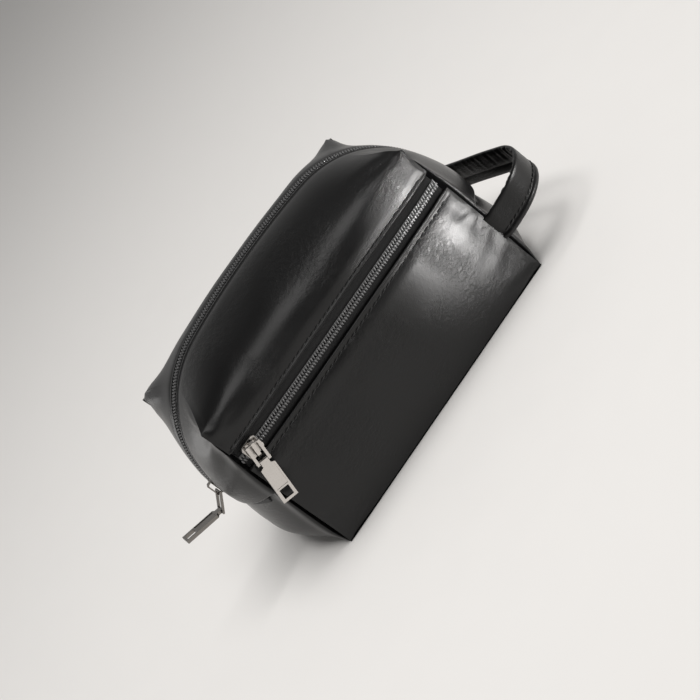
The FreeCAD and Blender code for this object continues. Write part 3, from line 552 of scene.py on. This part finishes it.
def capsule(length, radius_side, radius_up, bend=0.0, slant=0.0, sides=8):
    """Rounded bar along X from 0 to length, arched by bend, sheared by slant."""
    stations = np.array([0.0, 0.05, 0.16, 0.35, 0.5, 0.65, 0.84, 0.95, 1.0])
    width = np.array([0.25, 0.62, 0.9, 1.0, 1.0, 1.0, 0.9, 0.62, 0.25])
    path = np.stack([stations * length, slant * (stations - 0.5),
                     bend * np.sin(stations * math.pi)], 1)
    angle = np.arange(sides) * 2 * math.pi / sides
    rings = np.stack([np.cos(angle) * radius_side, np.sin(angle) * radius_up], 1)
    outline = rings[None] * width[:, None, None]
    return tube(path, np.tile([0.0, 0, 1], (len(path), 1)), outline)


def surface_tree(objects):
    """Nearest-point lookup on finished leather, in millimetres."""
    verts, faces = [], []
    for obj in objects:
        offset = len(verts)
        verts += [v.co / MM for v in obj.data.vertices]
        faces += [tuple(k + offset for k in p.vertices) for p in obj.data.polygons]
    return BVHTree.FromPolygons(verts, faces)


# ---------------------------------------------------------------- materials

def node_material(name):
    material = bpy.data.materials.new(name)
    material.use_nodes = True
    nodes = material.node_tree.nodes
    return material, nodes, material.node_tree.links, nodes["Principled BSDF"]


def noise(nodes, links, vector, scale, detail=2.0, rough=0.5, distort=0.0):
    node = nodes.new("ShaderNodeTexNoise")
    node.inputs["Scale"].default_value = scale
    node.inputs["Detail"].default_value = detail
    node.inputs["Roughness"].default_value = rough
    node.inputs["Distortion"].default_value = distort
    links.new(vector, node.inputs["Vector"])
    return node.outputs["Fac"]


def ramp(nodes, links, value, low, high, to_low, to_high):
    node = nodes.new("ShaderNodeMapRange")
    node.interpolation_type = "SMOOTHSTEP"
    for key, number in zip(("From Min", "From Max", "To Min", "To Max"), (low, high, to_low, to_high)):
        node.inputs[key].default_value = number
    links.new(value, node.inputs["Value"])
    return node.outputs["Result"]


def bump(nodes, links, height, distance, strength=1.0, base=None):
    node = nodes.new("ShaderNodeBump")
    node.inputs["Distance"].default_value = distance
    node.inputs["Strength"].default_value = strength
    links.new(height, node.inputs["Height"])
    if base is not None:
        links.new(base, node.inputs["Normal"])
    return node.outputs["Normal"]


def position(nodes, links, stretch=(1, 1, 1), turn=(0, 0, 0)):
    coords = nodes.new("ShaderNodeTexCoord")
    mapping = nodes.new("ShaderNodeMapping")
    mapping.inputs["Scale"].default_value = stretch
    mapping.inputs["Rotation"].default_value = turn
    links.new(coords.outputs["Object"], mapping.inputs["Vector"])
    return mapping.outputs["Vector"]


def two_tone(nodes, links, factor, first, second):
    node = nodes.new("ShaderNodeMix")
    node.data_type = "RGBA"
    node.inputs["A"].default_value = (*first, 1)
    node.inputs["B"].default_value = (*second, 1)
    links.new(factor, node.inputs["Factor"])
    return node.outputs["Result"]


def leather_material(name, color, rough_low, rough_high, wrinkle):
    """Smooth coated leather: fine grain, short wrinkles, patchy sheen."""
    material, nodes, links, shader = node_material(name)
    plain = position(nodes, links)
    turned = position(nodes, links, (1, 0.45, 1.6), (0.5, 0.3, 0.7))
    patch = noise(nodes, links, plain, 14, 3, 0.55)
    grain = nodes.new("ShaderNodeTexVoronoi")
    grain.feature = "SMOOTH_F1"
    grain.inputs["Scale"].default_value = 1050
    links.new(plain, grain.inputs["Vector"])
    folds = noise(nodes, links, turned, 210, 7, 0.68, 0.25)
    lines = ramp(nodes, links, folds, 0.35, 0.65, 0.0, 1.0)
    zone = ramp(nodes, links, noise(nodes, links, plain, 22, 2), 0.42, 0.68, 0.12, 1.0)
    scaled = nodes.new("ShaderNodeMath")
    scaled.operation = "MULTIPLY"
    links.new(lines, scaled.inputs[0])
    links.new(zone, scaled.inputs[1])
    normal = bump(nodes, links, scaled.outputs[0], wrinkle)
    normal = bump(nodes, links, grain.outputs["Distance"], 0.00007, 0.5, normal)
    links.new(normal, shader.inputs["Normal"])
    links.new(ramp(nodes, links, patch, 0.3, 0.7, rough_low, rough_high), shader.inputs["Roughness"])
    tone = two_tone(nodes, links, patch, color, [c * 1.5 for c in color])
    links.new(tone, shader.inputs["Base Color"])
    shader.inputs["Specular IOR Level"].default_value = 0.4
    return material


def woven_material(name, first, second, count, depth):
    """Fine weave from two crossed waves."""
    material, nodes, links, shader = node_material(name)
    vector = position(nodes, links, (1, 1, 1), (0.0, 0.35, 0.3))
    waves = []
    for axis in ("X", "Z"):
        wave = nodes.new("ShaderNodeTexWave")
        wave.bands_direction = axis
        wave.inputs["Scale"].default_value = count
        wave.inputs["Distortion"].default_value = 0.6
        links.new(vector, wave.inputs["Vector"])
        waves.append(wave.outputs["Fac"])
    product = nodes.new("ShaderNodeMath")
    product.operation = "MULTIPLY"
    links.new(waves[0], product.inputs[0])
    links.new(waves[1], product.inputs[1])
    links.new(two_tone(nodes, links, product.outputs[0], first, second), shader.inputs["Base Color"])
    links.new(bump(nodes, links, product.outputs[0], depth), shader.inputs["Normal"])
    shader.inputs["Roughness"].default_value = 0.78
    shader.inputs["Sheen Weight"].default_value = 0.15
    return material


def fine_material(name, color, roughness, scale, depth, metal=0.0, spread=0.06, vary=1.18):
    """Hard or thread-like surface with faint streaks in colour and roughness."""
    material, nodes, links, shader = node_material(name)
    vector = position(nodes, links, (1, 1, 3))
    streak = noise(nodes, links, vector, scale, 4, 0.6)
    tone = two_tone(nodes, links, streak, color, [min(1, c * vary) for c in color])
    links.new(tone, shader.inputs["Base Color"])
    rough = ramp(nodes, links, streak, 0.3, 0.7, roughness - spread, roughness + spread)
    links.new(rough, shader.inputs["Roughness"])
    links.new(bump(nodes, links, streak, depth), shader.inputs["Normal"])
    shader.inputs["Metallic"].default_value = metal
    return material


LEATHER = leather_material("black_leather", (0.003, 0.003, 0.0032), 0.27, 0.36, 0.00017)
STRAP_LEATHER = leather_material("strap_leather", (0.0035, 0.0035, 0.0037), 0.29, 0.38, 0.00016)
TAPE = woven_material("zip_tape_weave", (0.006, 0.006, 0.0065), (0.019, 0.019, 0.02), 900, 0.0001)
COIL = fine_material("zip_coil_nylon", (0.13, 0.13, 0.132), 0.25, 900, 0.00002)
THREAD = fine_material("black_thread", (0.013, 0.013, 0.0135), 0.45, 2600, 0.00005)
NICKEL = fine_material("brushed_nickel", (0.50, 0.475, 0.45), 0.24, 90, 0.0,
                       metal=1.0, spread=0.03, vary=1.06)
# The main zip's nickel is the same metal as the pocket's, with painted shade: its colour is darkened to
# stand in for the shadow it hangs in.
SHADED_NICKEL = fine_material("painted_shade_nickel", (0.21, 0.197, 0.183), 0.26, 90, 0.0,
                            metal=1.0, spread=0.03, vary=1.1)
LINING = woven_material("lining_twill", (0.03, 0.03, 0.034), (0.06, 0.06, 0.065), 700, 0.0001)
FOAM = fine_material("foam_padding", (0.09, 0.09, 0.095), 0.85, 1500, 0.0002)
BOARD = fine_material("fibre_board", (0.10, 0.08, 0.06), 0.7, 420, 0.00008)
BINDING = woven_material("binding_tape", (0.02, 0.02, 0.02), (0.045, 0.045, 0.05), 620, 0.0001)


def finish_piece(obj, body, material, slot, *nodes):
    obj.data.materials.clear()
    obj.data.materials.append(material)
    if body:
        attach(obj, body)
    if nodes:
        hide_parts(*nodes)
    return obj


# ---------------------------------------------------------------- leather panels

def tuck_sides(grid):
    """Turn both upright edges in behind the vertical seams."""
    for side in ("left", "right"):
        grid = fold_edge(grid, side, TUCK)
    return grid


def build_front():
    grid = shape(front_grid())
    grid = fold_edge(grid, "bottom", HEM)
    grid = fold_edge(grid, "top", HEM)
    grid = tuck_sides(grid)
    obj = sheet_object("front_leather_panel", [grid])
    return finish_piece(obj, "bag", LEATHER, "leather", "front_panel")


def upper_panel(name, front, low_z, node):
    middle = shape(roof_panel_grid(front, low_z))
    rows = len(roof_rows())
    flaps = []
    for side in (-1, 1):
        flap = shape(flap_grid(side, front), "upper end")
        edge = middle[:rows, 0] if side < 0 else middle[:rows, -1]
        near = flap.shape[1]
        blend = smooth((np.arange(near) - near + 13) / 12.0)[None, :, None]
        flap = flap + (edge - flap[:, -1])[:, None] * blend
        flap = fold_edge(flap, "left", FOLD)
        flap = fold_edge(flap, "top", HEM)
        flap = fold_edge(flap, "bottom", TUCK)
        flaps.append(flap)
    middle = fold_edge(middle, "bottom", HEM)
    middle = fold_edge(middle, "top", HEM)
    skirt = len(HEM) + rows
    edge_l = middle[:skirt, 0].copy()
    edge_r = middle[:skirt, -1].copy()
    for flap, edge in zip(flaps, (edge_l, edge_r)):
        flap[:skirt, -1] = edge
    lower = middle[skirt - 1:]
    obj = sheet_object(name, [middle[:skirt], tuck_sides(lower)] + flaps)
    return finish_piece(obj, "bag", LEATHER, "leather", node)


def build_base():
    bottom = bottom_grid()
    grids = [bottom]
    for side in (-1, 1):
        flap = shape(lower_flap_grid(side), "lower end")
        flap[0] = bottom[:, 0] if side < 0 else bottom[:, -1]
        grids.append(tuck_sides(flap))
    obj = sheet_object("base_leather_panel", grids)
    return finish_piece(obj, "bag", LEATHER, "leather", "base_panel")


front_leather = build_front()
top_leather = upper_panel("top_front_leather_panel", 1, LIP_HIGH_Z + 0.8, "top_front_panel")
upper_panel("rear_leather_panel", -1, 1.3, "rear_panel")
build_base()


# ---------------------------------------------------------------- zips

def main_line(lengths):
    x, z = path_at(lengths)
    points = np.stack([x, np.zeros_like(x), z], -1)
    run = unit(np.gradient(points, axis=0))
    across = np.tile([0.0, 1.0, 0.0], (len(x), 1))
    return points, run, across, np.cross(run, across)


def pocket_line(xs):
    z = np.full_like(xs, ZIP_Z)
    points = np.stack([xs, -face_y(xs, z), z], -1)
    points += seam_groove(points, False)
    points[:, 1] += 1.4 * smooth((np.abs(xs) - 114) / 5)
    run = unit(np.gradient(points, axis=0))
    up = np.tile([0.0, 0.0, 1.0], (len(xs), 1))
    return points, run, up, np.cross(run, up)


def outward(points, normal):
    flip = np.sign(np.sum(normal * (points - np.array([0, 0, 70.0])), -1, keepdims=True))
    return normal * flip


def tape_object(name, line, node, near, far):
    """Woven strip from the coil out under the leather."""
    points, _, across, normal = line
    normal = outward(points, normal)
    rows = []
    for off in np.linspace(near, far, 10):
        dip = 2.2 + 0.9 * smooth((abs(off) - 6) / 3)
        rows.append(points + across * off - normal * dip)
    back = [row - normal * 0.6 for row in rows[::-1]]
    grid = np.stack(rows + back + rows[:1])
    obj = sheet_object(name, [grid])
    return finish_piece(obj, "bag", TAPE, "zip_tape", node)


def coil_object(name, line_of, start, stop, sign, node, pitch=2.25):
    """Nylon loops of one side of a zip, with their sewing cord."""
    count = int((stop - start) / pitch)
    shift = 0.5 * pitch if sign > 0 else 0.0
    s = start + shift + (np.arange(count) + 0.25) * pitch
    points, run, across, normal = line_of(s)
    normal = outward(points, normal)
    verts, faces = capsule(3.0, 0.7, 0.85, bend=0.5, slant=0.45)
    frames = []
    for p, r, a, n in zip(points, run, across, normal):
        frames.append((p + a * sign * 0.1 - n * 0.9, a * sign, r, n))
    loops, loop_faces = repeat(verts, faces, frames)
    ends, _, end_across, end_n = line_of(np.linspace(start, stop, 160))
    end_n = outward(ends, end_n)
    cord_path = ends + end_across * sign * 1.75 - end_n * 2.15
    ring = [(0.9 * math.cos(a), 0.38 * math.sin(a)) for a in np.linspace(0, 2 * math.pi, 9)[:-1]]
    cord, cord_faces = tube(cord_path, end_n, ring)
    offset = len(loops)
    loop_faces += [tuple(k + offset for k in face) for face in cord_faces]
    obj = mesh_object(name, np.vstack([loops, cord]), loop_faces)
    return finish_piece(obj, "bag", COIL, "zip_coil", node)


MAIN_START, MAIN_STOP = 4.6, PATH_LENGTH[-1] - 4.6
main_s = np.linspace(MAIN_START, MAIN_STOP, 150)
pocket_x = np.linspace(-117.6, 117.6, 110)
tape_object("main_tape_front", main_line(main_s), "main_zip_tape_front", -0.5, -13.5)
tape_object("main_tape_rear", main_line(main_s), "main_zip_tape_rear", 0.5, 13.5)
coil_object("main_coil_front", main_line, MAIN_START, MAIN_STOP, -1, "main_zip_coil_front")
coil_object("main_coil_rear", main_line, MAIN_START, MAIN_STOP, 1, "main_zip_coil_rear")
tape_object("pocket_tape_upper", pocket_line(pocket_x), "pocket_zip_tape_upper", 0.5, 13.5)
tape_object("pocket_tape_lower", pocket_line(pocket_x), "pocket_zip_tape_lower", -0.5, -13.5)
coil_object("pocket_coil_upper", pocket_line, -118.8, 119.2, 1, "pocket_zip_coil_upper")
coil_object("pocket_coil_lower", pocket_line, -118.8, 119.2, -1, "pocket_zip_coil_lower")


# ---------------------------------------------------------------- stitching

def stitch_row(name, points, tree, body, node, pitch=5.3, length=4.3):
    """Thread stitches laid on the leather along a line of rough points."""
    points = np.asarray(points, float)
    cum = np.concatenate([[0], np.cumsum(np.linalg.norm(np.diff(points, axis=0), axis=1))])
    frames = []
    for k in range(int(cum[-1] / pitch)):
        ends = []
        for s in (k * pitch + 0.2, k * pitch + 0.2 + length):
            rough = Vector([np.interp(s, cum, points[:, i]) for i in range(3)])
            hit, normal, _, _ = tree.find_nearest(rough)
            ends.append((np.array(hit), np.array(normal)))
        (a, na), (b, nb) = ends
        n = unit(na + nb)
        n = n * np.sign(np.dot(n, a - np.array([0, 0, 70.0])))
        run = (b - a) / length
        frames.append((a - n * 0.1, run, np.cross(n, unit(run)), n))
    verts, faces = capsule(length, 0.62, 0.55, bend=0.3, slant=0.4)
    all_verts, all_faces = repeat(verts, faces, frames)
    obj = mesh_object(name, all_verts, all_faces)
    return finish_piece(obj, body, THREAD, "thread", node)


leather_tree = surface_tree([front_leather, top_leather])
for label, row, node in (("pocket_stitches_upper", ROW_UP, "pocket_stitching_upper"),
                         ("pocket_stitches_lower", ROW_LOW, "pocket_stitching_lower")):
    xs = np.linspace(-116.5, 116.5, 60)
    z = (row[0][2] + row[1][2]) / 2
    line = np.stack([xs, -face_y(xs, np.full_like(xs, z)), np.full_like(xs, z)], -1)
    stitch_row(label, line, leather_tree, "bag", node)


# ---------------------------------------------------------------- strap

STRAP_Z = (STRAP[0][2] + STRAP[1][2]) / 2
STRAP_SEAM_Y = 71.6
STRAP_RUN, STRAP_BEND = 141.0, 36.0
STRAP_TURN = (151.0, 50.0)
STRAP_TAIL = 16.0
STITCH_DROP = 6.0                        # strap's stitches, below its middle


def strap_lift(x):
    """The loop rises a little on its way out from the bag."""
    return 2.6 * smooth((x - 122) / 50)


def strap_line():
    """Middle line of the strap in plan, front tab to rear tab."""
    center = np.array([STRAP_RUN, STRAP_BEND - STRAP_SEAM_Y])
    to_turn = np.array(STRAP_TURN) - center
    reach = np.linalg.norm(to_turn)
    leave = math.atan2(to_turn[1], to_turn[0]) - math.acos(STRAP_BEND / reach)
    normal = np.array([math.cos(leave), math.sin(leave)])
    leave_point = center + STRAP_BEND * normal
    inside = leave_point @ normal - STRAP_TAIL
    tail_y = STRAP_SEAM_Y - STRAP_TAIL
    tail = np.array([(inside - tail_y * normal[1]) / normal[0], tail_y])
    big = np.linspace(-math.pi / 2, leave, 40)
    small = np.linspace(leave, math.pi / 2, 30)
    parts = [
        np.stack([np.linspace(116.5, STRAP_RUN, 14)[:-1], np.full(13, -STRAP_SEAM_Y)], 1),
        center + STRAP_BEND * np.stack([np.cos(big), np.sin(big)], 1),
        np.linspace(leave_point, tail + STRAP_TAIL * normal, 26)[1:-1],
        tail + STRAP_TAIL * np.stack([np.cos(small), np.sin(small)], 1),
        np.stack([np.linspace(tail[0], 116.5, 10)[1:], np.full(9, STRAP_SEAM_Y)], 1),
    ]
    flat = np.vstack(parts)
    tuck_front = smooth((123.5 - flat[:, 0]) / 6) * np.where(flat[:, 1] < 0, 1, -1) * 4.5
    flat[:, 1] += tuck_front
    cum = np.concatenate([[0], np.cumsum(np.linalg.norm(np.diff(flat, axis=0), axis=1))])
    s = np.arange(0, cum[-1], 1.6)
    return np.stack([np.interp(s, cum, flat[:, 0]), np.interp(s, cum, flat[:, 1])], 1), s


def strap_outline():
    """Closed section as (height, thickness), with a folded lower edge outside."""
    outer = [(12.5, 0.2), (12.2, 1.1), (11.3, 1.6), (9, 1.75), (4, 1.8), (-2, 1.8), (-4.9, 1.7),
             (-6.2, 1.3), (-7.3, 0.7), (-7.9, 0.8), (-8.5, 1.9), (-9.6, 2.45), (-11.1, 2.15),
             (-12.2, 1.25), (-12.5, 0.2)]
    inner = [(-12.3, -1.0), (-11.5, -1.55), (-8, -1.7), (-4.6, -1.7), (-3.9, -1.25), (-3.3, -1.7),
             (2, -1.75), (7, -1.7), (11.4, -1.55), (12.3, -1.0)]
    return np.array(outer + inner)


def strap_ring(section, spot, out, s, turn):
    """The section at one place, its inner side rucked where the strap bends."""
    inner_side = section[:, 1] < 0
    bend = 0.25 + 0.75 * min(1.0, turn * 42)
    ruck = np.sin(s * 0.95 + 0.5 * np.sin(s * 0.31)) * np.sin(s * 0.23 + 1.0)
    push = inner_side * ruck * 1.15 * bend * np.clip((section[:, 0] + 5) / 10, 0, 1)
    wave = 0.28 * math.sin(s * 0.11 + 1.3) * np.sin(section[:, 0] * 0.2)
    thick = section[:, 1] * 0.95 - push + wave
    pinch = smooth((132 - spot[0]) / 12) * 0.25
    heights = STRAP_Z + strap_lift(spot[0]) + section[:, 0] * (1 - 0.06 * pinch)
    return np.stack([spot[0] + out[0] * thick, spot[1] + out[1] * thick, heights], 1)


def build_strap():
    plan, s = strap_line()
    run = unit(np.gradient(plan, axis=0))
    out = np.stack([run[:, 1], -run[:, 0]], 1)
    section = strap_outline()
    turn = np.abs(np.gradient(np.unwrap(np.arctan2(run[:, 1], run[:, 0])), s))
    rings = [strap_ring(section, plan[k], out[k], s[k], turn[k]) for k in range(len(s))]
    rings = np.array(rings)
    rows, cols = rings.shape[:2]
    faces = grid_faces(rows, cols, wrap=True)
    faces.append(tuple(range(cols)))
    faces.append(tuple(range((rows - 1) * cols, rows * cols))[::-1])
    obj = mesh_object("strap_leather_sleeve", rings.reshape(-1, 3), faces)
    finish_piece(obj, None, STRAP_LEATHER, "leather", "handle_strap", "handle_seam_tabs", "handle_core")
    return obj, plan, out, s


def strap_stitches(plan, out, s):
    frames = []
    pitch, length = 5.0, 4.0
    for k in range(int((s[-1] - 14) / pitch)):
        ends = []
        for dist in (7 + k * pitch, 7 + k * pitch + length):
            spot = [np.interp(dist, s, plan[:, i]) for i in (0, 1)]
            side = [np.interp(dist, s, out[:, i]) for i in (0, 1)]
            height = STRAP_Z - STITCH_DROP + strap_lift(spot[0])
            ends.append(np.array([spot[0] + side[0] * 1.5, spot[1] + side[1] * 1.5, height]))
        side3 = np.array([side[0], side[1], 0.0])
        run = (ends[1] - ends[0]) / length
        frames.append((ends[0], run, np.cross(side3, unit(run)), side3))
    verts, faces = capsule(length, 0.62, 0.55, bend=0.3, slant=0.4)
    all_verts, all_faces = repeat(verts, faces, frames)
    obj = mesh_object("strap_stitches", all_verts, all_faces)
    return finish_piece(obj, None, THREAD, "thread")


strap, strap_plan, strap_out, strap_s = build_strap()
stitches = strap_stitches(strap_plan, strap_out, strap_s)
for piece in (strap, stitches):
    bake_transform(piece)


# ---------------------------------------------------------------- inside and metal

METAL_BEVEL = 0.25


def keep_node(name, material, bevel=0.0):
    """Show a CAD node as it is, with its own material."""
    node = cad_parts[name]
    node.data.materials.clear()
    node.data.materials.append(material)
    if bevel:
        rounded = node.modifiers.new("bevel", "BEVEL")
        rounded.width = bevel * MM
        rounded.segments = 2
        rounded.limit_method = "ANGLE"
        rounded.angle_limit = math.radians(35)


def build_corner_bindings():
    """Folded tape over the turned-in edges behind each vertical seam."""
    heights = np.linspace(4.0, 126.0, 42)
    half = [(4.2, 0.0), (3.9, 0.75), (2.0, 0.9), (-2.0, 0.9), (-3.9, 0.75), (-4.2, 0.0)]
    outline = np.array(half + [(a, -b) for a, b in half[::-1][1:-1]])
    verts, faces = [], []
    for sx in (-1, 1):
        for sy in (-1, 1):
            lean = 0.5 * np.sin(heights * 0.11 + sx + 2 * sy)
            path = np.stack([sx * (HALF_X - 11.5 + lean), sy * (HALF_Y - 10.0 + lean), heights], 1)
            ups = np.tile([sx * 0.7, -sy * 0.7, 0.0], (len(path), 1))
            strip, strip_faces = tube(path, ups, outline)
            faces += [tuple(k + len(verts) for k in face) for face in strip_faces]
            verts += strip.tolist()
    obj = mesh_object("corner_binding_tapes", verts, faces)
    return finish_piece(obj, "bag", BINDING, "binding", "corner_seam_bindings")


build_corner_bindings()
for hidden, finish in (("base_board", BOARD), ("lining", LINING),
                       ("front_padding", FOAM), ("rear_padding", FOAM),
                       ("end_seam_bindings", BINDING), ("pocket_bag", LINING)):
    keep_node(hidden, finish)

# Main zip metal gets the nickel with painted shade; the pocket zip gets the plain nickel.
for zip_name, finish in (("main", SHADED_NICKEL), ("pocket", NICKEL)):
    for part in ("slider_body", "slider_bail", "pull_link", "pull_pin", "pull_plate"):
        keep_node(zip_name + "_" + part, finish, METAL_BEVEL)


# ---------------------------------------------------------------- stage

BAG_MIDDLE = Vector((0, 0, 0.08))
SOFT_WHITE = (1.0, 0.985, 0.97)


def area_light(name, spot, size, power, only, target=BAG_MIDDLE, spread=180):
    """Soft rectangle that lights one group; the floor stands in no bag light's way."""
    data = bpy.data.lights.new(name, "AREA")
    data.shape = "RECTANGLE"
    data.size, data.size_y = size
    data.energy = power
    data.color = SOFT_WHITE
    data.spread = math.radians(spread)
    lamp = bpy.data.objects.new(name, data)
    bpy.context.scene.collection.objects.link(lamp)
    lamp.location = spot
    lamp.rotation_mode = "QUATERNION"
    lamp.rotation_quaternion = (target - spot).to_track_quat("-Z", "Y")
    lamp.visible_camera = False
    lamp.light_linking.receiver_collection = only
    if only.name != "ground":
        lamp.light_linking.blocker_collection = only
    return lamp


IMAGE_PX, FOCAL_LENGTH_PX = 700.0, 2000.0
SENSOR = 36.0
CAMERA_SPOT = Vector((-0.1411, -1.3404, 0.6158))
CAMERA_RIGHT = Vector((0.5675, -0.3656, -0.7377))
CAMERA_UP = Vector((0.8181, 0.1491, 0.5554))
CAMERA_BACK = Vector((-0.093, -0.9187, 0.3837))


def camera_frame(right, up, back):
    """World point given in metres along the camera's own axes from the bag."""
    return BAG_MIDDLE + CAMERA_RIGHT * right + CAMERA_UP * up + CAMERA_BACK * back


def light_group(name, objects):
    """A named group of objects that a light is aimed at."""
    group = bpy.data.collections.new(name)
    for obj in objects:
        group.objects.link(obj)
    return group


def build_world():
    """Pale surroundings behind the bag, darker towards the camera."""
    world = bpy.data.worlds.new("studio")
    bpy.context.scene.world = world
    world.use_nodes = True
    nodes, links = world.node_tree.nodes, world.node_tree.links
    coords = nodes.new("ShaderNodeTexCoord")
    facing = nodes.new("ShaderNodeVectorMath")
    facing.operation = "DOT_PRODUCT"
    facing.inputs[1].default_value = CAMERA_BACK
    links.new(coords.outputs["Generated"], facing.inputs[0])
    strength = ramp(nodes, links, facing.outputs["Value"], -0.5, 0.5, 0.45, 0.14)
    back = nodes["Background"]
    back.inputs["Color"].default_value = (*SOFT_WHITE, 1)
    links.new(strength, back.inputs["Strength"])


FLOOR_HALF = 9000
RIGHT_END = Vector((0.100, -0.072, 0.075))
RIGHT_TIP = Vector((0.105, -0.068, 0.130))


def build_floor():
    corners = [(-FLOOR_HALF, -FLOOR_HALF, 0), (FLOOR_HALF, -FLOOR_HALF, 0),
               (FLOOR_HALF, FLOOR_HALF, 0), (-FLOOR_HALF, FLOOR_HALF, 0)]
    floor = mesh_object("studio_floor", corners, [(0, 1, 2, 3)], False)
    floor.location.z = -0.0004
    paper = fine_material("floor_paper", (0.70, 0.69, 0.675), 0.75, 30, 0.0, vary=1.01)
    floor.data.materials.append(paper)
    return floor


def build_lights(leather, bag, hardware, ground):
    """Softboxes: large ones for the floor and the bag, small ones for sheen at the right end."""
    area_light("floor_softbox", Vector((0.1, -0.3, 2.0)), (1.6, 1.6), 48, ground)
    area_light("side_softbox", camera_frame(0.267, 0.03, 0.213), (0.05, 0.06), 0.046, leather,
               RIGHT_END, 25)
    area_light("tip_softbox", camera_frame(0.217, 0.096, 0.376), (0.04, 0.05), 0.0045, leather,
               RIGHT_TIP, 12)
    area_light("front_fill", camera_frame(-0.15, 0.5, 0.95), (0.9, 0.7), 4.4, leather)
    area_light("strap_softbox", camera_frame(0.6, 0.55, 0.35), (0.2, 0.2), 3.4, bag)
    area_light("low_rear_softbox", Vector((-0.8, 0.66, 0.16)), (0.45, 0.45), 1.3, bag)
    area_light("top_softbox", camera_frame(-0.65, 0.94, 0.58), (0.5, 0.4), 0.3, bag)
    area_light("metal_softbox", camera_frame(0.5, -0.35, 0.8), (0.4, 0.3), 1.2, hardware)


def made_of(obj, *materials):
    return any(material.name in obj.data.materials for material in materials)


def build_stage():
    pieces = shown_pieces()
    leather = light_group("leather_pieces", [obj for obj in pieces if made_of(obj, LEATHER, COIL)])
    bag = light_group("bag_pieces", [obj for obj in pieces if not made_of(obj, SHADED_NICKEL)])
    hardware = light_group("metal_pieces", [obj for obj in pieces if made_of(obj, NICKEL)])
    ground = light_group("ground", [build_floor()])
    build_world()
    build_lights(leather, bag, hardware, ground)
    scene = bpy.context.scene
    scene.view_settings.view_transform = "Standard"
    scene.view_settings.look = "None"


def build_camera():
    data = bpy.data.cameras.new("camera")
    data.sensor_width = SENSOR
    data.lens = FOCAL_LENGTH_PX / IMAGE_PX * SENSOR
    data.clip_start, data.clip_end = 0.05, 30.0
    camera = bpy.data.objects.new("camera", data)
    bpy.context.scene.collection.objects.link(camera)
    basis = Matrix((CAMERA_RIGHT, CAMERA_UP, CAMERA_BACK)).transposed()
    camera.matrix_world = Matrix.Translation(CAMERA_SPOT) @ basis.to_4x4()
    bpy.context.scene.camera = camera


build_stage()
build_camera()
